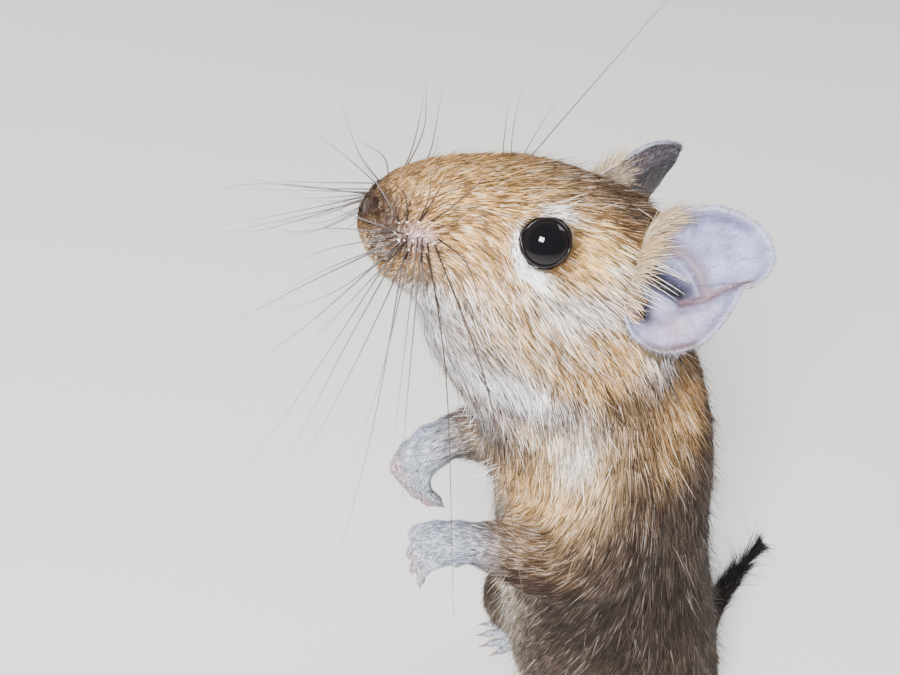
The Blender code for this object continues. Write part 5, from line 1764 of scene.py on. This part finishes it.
@dataclass
class Eye:
    """A round wet eye with a soft dark rim of lid round it."""

    side: Side
    radius: float = EYE_RADIUS
    axis: Triple = EYE_AXIS
    lid_rings: int = 64
    # The lid's section: how far from the eye's axis and how far out along it, from its inner edge round
    section: tuple = ((2.94, 3.05), (2.97, 3.22), (3.06, 3.29), (3.18, 3.22), (3.29, 3.02), (3.36, 2.70),
                      (3.40, 2.10), (3.30, 1.40), (3.05, 2.60))

    def place(self) -> Matrix:
        """The eye's own axes in metres, with z looking out."""
        flip = self.side.value
        out = Vector((self.axis[0] * flip, self.axis[1], self.axis[2])).normalized()
        ahead = Vector((0, -1, 0))
        ahead = (ahead - out * ahead.dot(out)).normalized()
        turn = Matrix((ahead, out.cross(ahead), out)).transposed().to_4x4()
        centre = Vector((POSE.eye[0] * flip, POSE.eye[1], POSE.eye[2])) * MM
        return POSE.matrix() @ Matrix.Translation(centre) @ turn

    def ball(self) -> bpy.types.Object:
        """The eyeball, a little fuller in front."""
        bm = bmesh.new()
        bmesh.ops.create_icosphere(bm, subdivisions=5, radius=self.radius * MM)
        for vert in bm.verts:
            out = max(0.0, vert.co.z / (self.radius * MM))
            vert.co.z *= 1.0 + 0.03 * out ** 4
        radii = np.array([math.hypot(vert.co.x, vert.co.y) / MM for vert in bm.verts])
        front = np.array([vert.co.z > 0 for vert in bm.verts])
        bmesh.ops.transform(bm, matrix=self.place(), verts=bm.verts)
        obj = from_bmesh(f"eyeball_{self.side.word}", bm)
        ring = bell(radii - 2.75, 0.30) * front
        paint(obj.data, np.array((0.004, 0.004, 0.005)) + ring[:, None] * np.array((0.006, 0.003, 0.002)))
        return obj

    def lids(self) -> bpy.types.Object:
        """The rim of the lids, drawn out to a corner in front and behind."""
        bm = bmesh.new()
        verts = [bm.verts.new((reach * MM, 0, height * MM)) for reach, height in self.section]
        edges = [bm.edges.new((verts[i], verts[(i + 1) % len(verts)])) for i in range(len(verts))]
        bmesh.ops.spin(bm, geom=verts + edges, cent=(0, 0, 0), axis=(0, 0, 1), angle=2 * math.pi,
                       steps=self.lid_rings, use_merge=True)
        for vert in bm.verts:
            around = math.atan2(vert.co.y, vert.co.x)
            front = math.exp(-((around / 0.30) ** 2))
            back = math.exp(-(((abs(around) - math.pi) / 0.30) ** 2))
            reach = 1.0 + 0.09 * front + 0.04 * back
            vert.co.x *= reach
            vert.co.y *= reach
            vert.co.z -= (0.25 * front + 0.12 * back) * MM
        bmesh.ops.recalc_face_normals(bm, faces=bm.faces)
        bmesh.ops.transform(bm, matrix=self.place(), verts=bm.verts)
        return from_bmesh(f"lids_{self.side.word}", bm)

    def build(self) -> tuple[bpy.types.Object, bpy.types.Object]:
        """Make the eyeball and its lids."""
        return self.ball(), self.lids()

    def dress(self, ball: bpy.types.Object, lids: bpy.types.Object) -> None:
        """Finish the eye wet and the lids dark and moist."""
        graph = Graph("eye")
        graph.finish(Base_Color=graph.attribute("tint"), Roughness=0.03, Coat_Weight=0.08,
                     Coat_Roughness=0.01, Specular_IOR_Level=0.22)
        wear(ball, graph.material, (f"eye_{self.side.word}",))
        wear(lids, PlainFinish("lid_skin", (0.006, 0.005, 0.006), 0.26, 0.05, 0.25).material())


# Ears


@dataclass
class Ear:
    """A large thin round ear: a cupped sheet with a rolled rim, folds, slots in its bowl and a notch."""

    side: Side
    root: Triple = (13.0, 13.5, 2.0)
    up: Triple = (0.033, 0.717, 0.697)
    facing: Triple = (0.72, -0.50, 0.48)
    lift: float = 9.0
    bowl: tuple[float, float] = (2.6, 0.8)
    depth: float = 4.2
    rings: int = 38
    around: int = 9
    thickness: float = 0.75
    near: float = 9.0
    down_count: int = 17000
    down_seed: int = 21
    bristle_seed: int = 31
    # The edge as towards the tip and towards the crown, from the front of the crown edge round
    edge: tuple = (
        (3.1, 7.4), (6.1, 8.8), (9.5, 8.3), (13.1, 6.7), (15.9, 4.2), (17.6, 1), (17, -2.4), (14.7, -4.3),
        (12.1, -4.1), (10.2, -5.4), (8.2, -6.7), (5.8, -8), (3.3, -8.8), (0.6, -8.7), (-1.8, -7.9),
        (-3.6, -6.3), (-4.7, -4), (-4.4, -0.8), (-2.2, 2), (0.2, 4.8),
    )
    # Folds, each a line on the flat ear with its height and width: ridges stand up and grooves are pressed in
    folds: tuple = (
        (((4.4, 4.6), (5.6, 3.0), (6.4, 0.6), (6.0, -2.6)), 1.0, 0.75),
        (((5.6, 5.4), (7.3, 3.2), (7.9, 0.4), (7.3, -2.2)), -0.65, 0.9),
        (((12.8, -3.9), (9.4, -3.3), (6.6, -3.4), (3.6, -2.4)), -0.8, 0.42),
        (((12.0, -5.0), (8.8, -4.8), (5.4, -4.8), (3.0, -4.2)), 0.45, 0.8),
        (((0.4, 4.0), (2.6, 1.7), (4.5, -0.9)), -3.4, 1.05),
        (((-1.7, 1.2), (-0.9, -0.4), (-1.5, -1.7)), -2.4, 0.85),
        (((-0.4, 2.6), (1.0, 0.6), (2.6, -1.8)), 0.9, 0.55),
        (((-2.6, -4.2), (-0.2, -4.9), (2.2, -4.8)), 1.3, 1.5),
        (((3.6, 6.0), (6.0, 6.9), (9.6, 6.6), (12.8, 5.0), (15.2, 2.4)), -0.55, 0.6),
        (((9.4, 3.6), (12.4, 2.0), (13.6, -0.6)), 0.35, 1.4),
    )
    bristles: int = 11
    # Where longer hair of the cheek grows over the ear's front edge
    fringe: tuple = ((-1.0, 3.8), (0.8, 5.6), (3.1, 7.4), (6.0, 8.6))

    def axes(self) -> Array:
        """The ear's own axes as rows: towards the tip, towards the crown, and out of its face."""
        up = unit(np.array(self.up))
        face = np.array(self.facing)
        face = unit(face - up * (face @ up))
        return np.array([up, -np.cross(up, face), face])

    def turn(self) -> Array:
        """How far the right ear is lifted, as a 3 by 3 matrix."""
        return np.array(Matrix.Rotation(math.radians(self.lift), 3, "X"))

    def out(self) -> Array:
        """The way out of the ear's face."""
        return (self.seat(np.array([[0, 0, 1.0]])) - self.seat(np.zeros((1, 3))))[0]

    def rim(self) -> Array:
        """The ear's edge as a smooth closed line on the flat ear."""
        return spline(self.edge + self.edge[:1], self.around)[:-1]

    def seat(self, places: Array) -> Array:
        """Ear places moved onto the head.

        Args:
            places: towards the tip, towards the crown and out of the face, in millimetres.

        Returns:
            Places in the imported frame.
        """
        spots = places @ self.axes() + np.array(self.root)
        if self.side is Side.RIGHT:
            spots = ((spots - np.array(self.root)) @ self.turn().T + np.array(self.root)) * (-1, 1, 1)
        return POSE.head_to_frame(spots)

    def unseat(self, places: Array) -> Array:
        """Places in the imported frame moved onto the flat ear."""
        spots = POSE.frame_to_head(places)
        if self.side is Side.RIGHT:
            return ((spots * (-1, 1, 1) - np.array(self.root)) @ self.turn()) @ self.axes().T
        return (spots - np.array(self.root)) @ self.axes().T

    def reach_of(self, flat: Array) -> Array:
        """The share of the way from the bowl's middle to the edge at places on the flat ear."""
        rim = self.rim() - np.array(self.bowl)
        angles = np.arctan2(rim[:, 1], rim[:, 0])
        order = np.argsort(angles)
        out = flat - np.array(self.bowl)
        edge = np.interp(np.arctan2(out[:, 1], out[:, 0]), angles[order], np.linalg.norm(rim, axis=1)[order],
                         period=2 * math.pi)
        return np.linalg.norm(out, axis=1) / edge

    def clear_of(self, places: Array) -> Array:
        """Which places on the skin lie outside the ear's bowl."""
        flat = self.unseat(places)
        return ~((self.reach_of(flat[:, :2]) < 0.97) & (np.abs(flat[:, 2]) < self.near))

    def sink(self, places: Array) -> Array:
        """Press the skin back behind the ear's bowl.

        Args:
            places: the skin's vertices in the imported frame.

        Returns:
            The moved vertices.
        """
        flat = self.unseat(places)
        reach = self.reach_of(flat[:, :2])
        near = np.nonzero((reach < 1.0) & (np.abs(flat[:, 2]) < self.near))[0]
        spots, share = flat[near], 1.0 - smoothstep(0.90, 1.0, reach[near])
        back = self.height(spots[:, 0], spots[:, 1], reach[near]) - self.thickness - 1.3
        spots[:, 2] += np.minimum(back - spots[:, 2], 0.0) * share
        moved = places.copy()
        moved[near] = self.seat(spots)
        return moved

    def height(self, along: Array, across: Array, reach: Array) -> Array:
        """How far the ear's face stands in front of its plane.

        Args:
            along: places towards the tip.
            across: places towards the crown.
            reach: the share of the way from the bowl to the edge.

        Returns:
            Heights in millimetres.
        """
        rise = -self.depth * (1.0 - reach ** 1.7)
        crownward = np.clip((across - 2.0) / 5.0, 0.0, 1.0)
        rise = rise + 1.5 * reach ** 5 * crownward + 0.45 * bell(reach - 0.95, 0.05)
        fade = 1.0 - reach ** 8
        flat = np.column_stack([along.ravel(), across.ravel()])
        for line, high, wide in self.folds:
            gap, _ = to_line(flat, line)
            rise = rise + high * (bell(gap, wide).reshape(along.shape)) * fade
        return rise

    def build(self) -> bpy.types.Object:
        """Make the ear: rings from its edge into its bowl, bridged, with a wall behind them."""
        rim = self.rim()
        bm = bmesh.new()
        shares = 1.0 - np.linspace(0, 1, self.rings, endpoint=False)
        loops = []
        for reach in shares:
            flat = np.array(self.bowl) + (rim - np.array(self.bowl)) * reach
            rise = self.height(flat[:, 0], flat[:, 1], np.full(len(flat), reach))
            spots = self.seat(np.column_stack([flat, rise])) * MM
            loops.append([bm.verts.new(spot) for spot in spots])
            for one, other in zip(loops[-1], loops[-1][1:] + loops[-1][:1]):
                bm.edges.new((one, other))
        for outer, inner in zip(loops, loops[1:]):
            ring = {edge for vert in outer + inner for edge in vert.link_edges if len(edge.link_faces) < 2}
            both = set(outer) | set(inner)
            bmesh.ops.bridge_loops(bm, edges=[edge for edge in ring if set(edge.verts) <= both])
        bm.faces.new(loops[-1])
        bmesh.ops.recalc_face_normals(bm, faces=bm.faces)
        if sum((face.normal * face.calc_area() for face in bm.faces), Vector()).dot(Vector(self.out())) < 0:
            bmesh.ops.reverse_faces(bm, faces=bm.faces)
        obj = from_bmesh(f"ear_{self.side.word}_fine", bm)
        wall = obj.modifiers.new("wall", "SOLIDIFY")
        wall.thickness = self.thickness * MM
        wall.offset = -1.0
        baked(obj)
        return obj

    def front(self, normals: Array) -> Array:
        """How far each place on the ear faces forward, from 0 to 1."""
        return smoothstep(-0.15, 0.15, normals @ self.out())[:, None]

    def tones(self, places: Array, normals: Array) -> Array:
        """The ear's colours: lilac grey and mottled behind, with a pale rim that is partly its white fuzz and
        partly a painted highlight, browner painted shade in its grooves and near-black painted shade in its
        slots.
        """
        flat = self.unseat(places)
        front = self.front(normals)
        reach = self.reach_of(flat[:, :2])
        tone = Tone.EAR_BACK.rgb + (Tone.EAR_FACE.rgb - Tone.EAR_BACK.rgb) * front
        cloud = np.array([noise.noise(Vector(spot) * 0.42) + 0.6 * noise.noise(Vector(spot) * 1.3)
                          for spot in flat])
        tone = tone * (1.0 + 0.42 * cloud[:, None] * np.array((1.0, 1.0, 0.8)))
        lobe = bell(np.linalg.norm((flat[:, :2] - (1.5, -5.6)) / (5.0, 3.2), axis=1), 1.0)[:, None] * front
        tone = tone + lobe * 0.5 * (Tone.EAR_LOBE.rgb - tone)
        # The pale rim is partly the ear's fine white fuzz and partly a painted highlight on the rolled edge.
        rim = smoothstep(0.93, 0.99, reach)[:, None] * front
        tone = tone + rim * 0.45 * (Tone.EAR_RIM.rgb - tone)
        # Painted shade: the grooves are painted darker and browner, the slots near black, and a line along the
        # lower edge darker.
        dent_shades = ((self.folds[1][0], (0.20, 0.125, 0.135), 1.0, 0.75),
                 (self.folds[2][0], (0.20, 0.10, 0.10), 0.55, 0.85),
                 (self.folds[8][0][:3], (0.13, 0.09, 0.10), 0.5, 0.6),
                 (self.folds[4][0], (0.006, 0.004, 0.005), 1.35, 1.0),
                 (self.folds[5][0], (0.012, 0.008, 0.01), 1.2, 1.0),
                 (((-4.2, -5.6), (-1.6, -7.6), (2.4, -8.5)), (0.12, 0.06, 0.045), 0.55, 0.8))
        for line, colour, wide, strength in dent_shades:
            gap, _ = to_line(flat[:, :2], line)
            tone = tone + bell(gap, wide)[:, None] ** 0.8 * strength * front * (np.array(colour) - tone)
        return tone

    def down(self, obj: bpy.types.Object) -> bpy.types.Object:
        """Very short fine hair over both faces of the ear and past its rim.

        Args:
            obj: the ear, with its unwrap.

        Returns:
            The hair's piece.
        """
        rng = np.random.default_rng(self.down_seed + self.side.value)
        places, corners = arrays_of(obj.data)
        roots = Roots(obj, places, corners)
        normals = normals_of(places, corners)
        reach = self.reach_of(self.unseat(places)[:, :2])
        gap, _ = to_line(self.unseat(places)[:, :2], self.fringe)
        near = bell(gap, 1.5) * (0.4 + 0.6 * self.front(normals)[:, 0])
        crowd = 0.35 + smoothstep(0.4, 1.0, reach[corners].mean(1)) + 1.9 * near[corners].mean(1)
        roots.scatter(rng, crowd, self.down_count)
        root, normal, near = roots.at(places), unit(roots.at(normals)), roots.at(near)[:, None]
        count = len(root)
        flat = self.unseat(root)
        away = np.column_stack([flat[:, :2] - np.array(self.bowl), np.zeros(len(flat))]) + (2.0, 0.5, 0.0)
        away = unit(away) * (1.0 - np.minimum(near * 1.5, 1.0)) + np.array((0.95, -0.28, 0.0)) * near * 2.0
        way = self.seat(unit(away)) - self.seat(np.zeros((1, 3)))
        way = way + rng.normal(0, 0.25, way.shape)
        way = unit(way - normal * (way * normal).sum(1, keepdims=True))
        length = rng.uniform(0.45, 1.15, count)[:, None]
        length = length * (1.0 + 5.5 * near ** 1.5 * rng.uniform(0.3, 1.0, (count, 1)))
        middle = root + way * length * 0.45 + normal * 0.10 * length
        tip = root + way * length + normal * 0.17 * length
        base = roots.at(self.tones(places, normals))
        light = rng.random((count, 1))
        front = self.front(normal)
        pale = base + (Tone.EAR_DOWN.rgb - base) * (0.06 + 0.70 * light ** 3) * (0.35 + 0.65 * front)
        dark = base * (0.42 + 0.4 * light)
        tint = np.where(rng.random((count, 1)) < 0.62, pale, dark)
        mottle = np.exp(rng.normal(0, 0.55, (count, 1)))
        tint = tint * (front + (1.0 - front) * mottle)
        warm = np.where(rng.random((count, 1)) < 0.5, Tone.CHEEK.rgb, Tone.CREAM.rgb)
        tint = tint + np.minimum(near * 1.4, 1.0) * (warm * rng.uniform(0.3, 1.25, (count, 1)) - tint)
        tufts = Tufts(root - normal * 0.05, normal, middle, tip, 0.052 + 0.028 * near[:, 0],
                      np.stack([tint * 0.8, tint, tint], 1), roots.flat())
        return tufts.piece(f"ear_{self.side.word}_down", np.arange(count))

    def hairs(self) -> bpy.types.Object:
        """Stiff pale bristles that lean from the cheek across the slot of the ear."""
        rng = np.random.default_rng(self.bristle_seed)
        threads = Threads()
        share = np.linspace(0, 1, 9)[:, None]
        for index in range(self.bristles):
            place = index / (self.bristles - 1)
            start = np.array((1.2, 5.6)) + (np.array((-3.0, 1.2)) - (1.2, 5.6)) * place
            start = start + rng.normal(0, 0.15, 2)
            end = np.array((5.6, -0.6)) + (np.array((0.0, -2.6)) - (5.6, -0.6)) * place
            end = end + rng.normal(0, 0.4, 2)
            flat = start + (end - start) * share
            rise = 0.6 + 1.3 * np.sin(share * math.pi * 0.8) - share
            line = self.seat(np.hstack([flat, rise]))
            threads.add(line, 0.085, 0.02, (0.55, 0.45, 0.33), (0.92, 0.88, 0.82))
        return threads.build(f"ear_{self.side.word}_bristles")

    def dress(self, obj: bpy.types.Object) -> None:
        """Paint and finish the ear, its down and its bristles."""
        unwrap(obj)
        places, corners = arrays_of(obj.data)
        paint(obj.data, self.tones(places, normals_of(places, corners)))
        wear(obj, EarFinish().material(), (f"ear_{self.side.word}",))
        hair = TuftFinish("ear_hair", 0.6, 0.2).material()
        wear(self.down(obj), hair)
        wear(self.hairs(), hair)


EARS = (Ear(Side.LEFT), Ear(Side.RIGHT))


# Claws


@dataclass(frozen=True)
class Claws:
    """The claws of all four feet, curved and dark with a paler tip."""

    finger: tuple[float, float] = (1.8, 0.38)
    toe: tuple[float, float] = (3.1, 0.50)
    curve: float = 0.32

    def build(self) -> bpy.types.Object:
        """Make the claws as one piece."""
        threads = Threads(sides=8)
        share = np.linspace(0, 1, 7)[:, None]
        for limbs, (length, radius) in ((HANDS, self.finger), (FEET, self.toe)):
            for limb in limbs:
                for digit in limb.digits()[:4 if limbs is HANDS else 5]:
                    way, before = unit(digit[2] - digit[1]), unit(digit[1] - digit[0])
                    down = unit(way - before) if limbs is HANDS else np.array((0.0, 0.0, -1.0))
                    raised = way if limbs is HANDS else unit(way + (0, 0, 0.28))
                    line = digit[2] + raised * length * (share - 0.14)
                    line = line + down * self.curve * length * share ** 2
                    line[:, 2] = np.maximum(line[:, 2], 0.12)
                    threads.add(line + POSE.shift(), radius, 0.06, (0.10, 0.075, 0.07), (0.30, 0.24, 0.21))
        return threads.build("claws")

    def dress(self, obj: bpy.types.Object) -> None:
        """Finish the claws."""
        wear(obj, TuftFinish("claw", 0.28, 0.5).material())


# Camera, light and floor


@dataclass(frozen=True)
class Studio:
    """A pale floor, soft light and the camera of the picture's view."""

    away: Triple = (103.2, -38.0, 92.1)
    right: Triple = (0.1878, 0.9797, 0.0697)
    upward: Triple = (-0.7173, 0.0883, 0.6912)
    back: Triple = (0.6710, -0.1798, 0.7193)
    lens: float = 40.0
    sensor: float = 36.0
    floor: float = 4.0

    def camera(self) -> None:
        """Set the camera where the picture was taken from."""
        data = bpy.data.cameras.new("camera")
        data.lens, data.sensor_width = self.lens, self.sensor
        data.clip_start, data.clip_end = 0.002, 50.0
        camera = object_of("camera", data)
        place = (np.array(POSE.centre) + POSE.shift() + np.array(self.away)) * MM
        turn = Matrix((self.right, self.upward, self.back)).transposed()
        camera.matrix_world = Matrix.Translation(Vector(place)) @ turn.to_4x4()
        bpy.context.scene.camera = camera

    def light(self, name: str, place: Triple, size: float, power: float, colour: Triple = (1, 1, 1)) -> None:
        """Add a square soft light that faces the animal.

        Args:
            name: the light's name.
            place: where it hangs, in metres.
            size: its side in metres.
            power: its power in watts.
            colour: its colour.
        """
        data = bpy.data.lights.new(name, "AREA")
        data.size, data.energy, data.color = size, power, colour
        lamp = object_of(name, data)
        lamp.location = place
        aim = Vector((0.0, -0.02, 0.12)) - Vector(place)
        lamp.rotation_mode = "QUATERNION"
        lamp.rotation_quaternion = aim.to_track_quat("-Z", "Y")

    def build(self) -> None:
        """Make the floor, the lights and the camera."""
        bm = bmesh.new()
        bmesh.ops.create_grid(bm, x_segments=1, y_segments=1, size=self.floor)
        ground = from_bmesh("floor", bm, False)
        ground.data.materials.append(PlainFinish("floor", (0.70, 0.69, 0.67), 0.85, 0.0, 0.2).material())
        world = bpy.data.worlds.new("room")
        world.use_nodes = True
        world.node_tree.nodes["Background"].inputs["Color"].default_value = (0.90, 0.94, 1.0, 1.0)
        world.node_tree.nodes["Background"].inputs["Strength"].default_value = 0.29
        bpy.context.scene.world = world
        self.light("key", (0.36, -0.28, 0.62), 0.20, 15.5, (1.0, 0.98, 0.95))
        self.light("fill", (-0.55, -0.45, 0.40), 0.5, 3.0, (0.92, 0.96, 1.0))
        self.light("rim", (-0.25, 0.60, 0.55), 0.4, 4.0)
        self.camera()


def main() -> None:
    """Build and dress every piece in order."""
    logging.basicConfig(level=logging.INFO, format="%(name)s: %(message)s")
    hide = Hide()
    hide.build()
    hide.dress()
    for ear in EARS:
        ear.dress(ear.build())
    for side in Side:
        eye = Eye(side)
        eye.dress(*eye.build())
        whiskers = Whiskers(side, hide)
        whiskers.dress(whiskers.build())
    claws = Claws()
    claws.dress(claws.build())
    coat = Coat(hide)
    coat.dress(coat.build())
    guard = Guard(hide)
    guard.dress(guard.build())
    Studio().build()


if __name__ == "__main__":
    main()
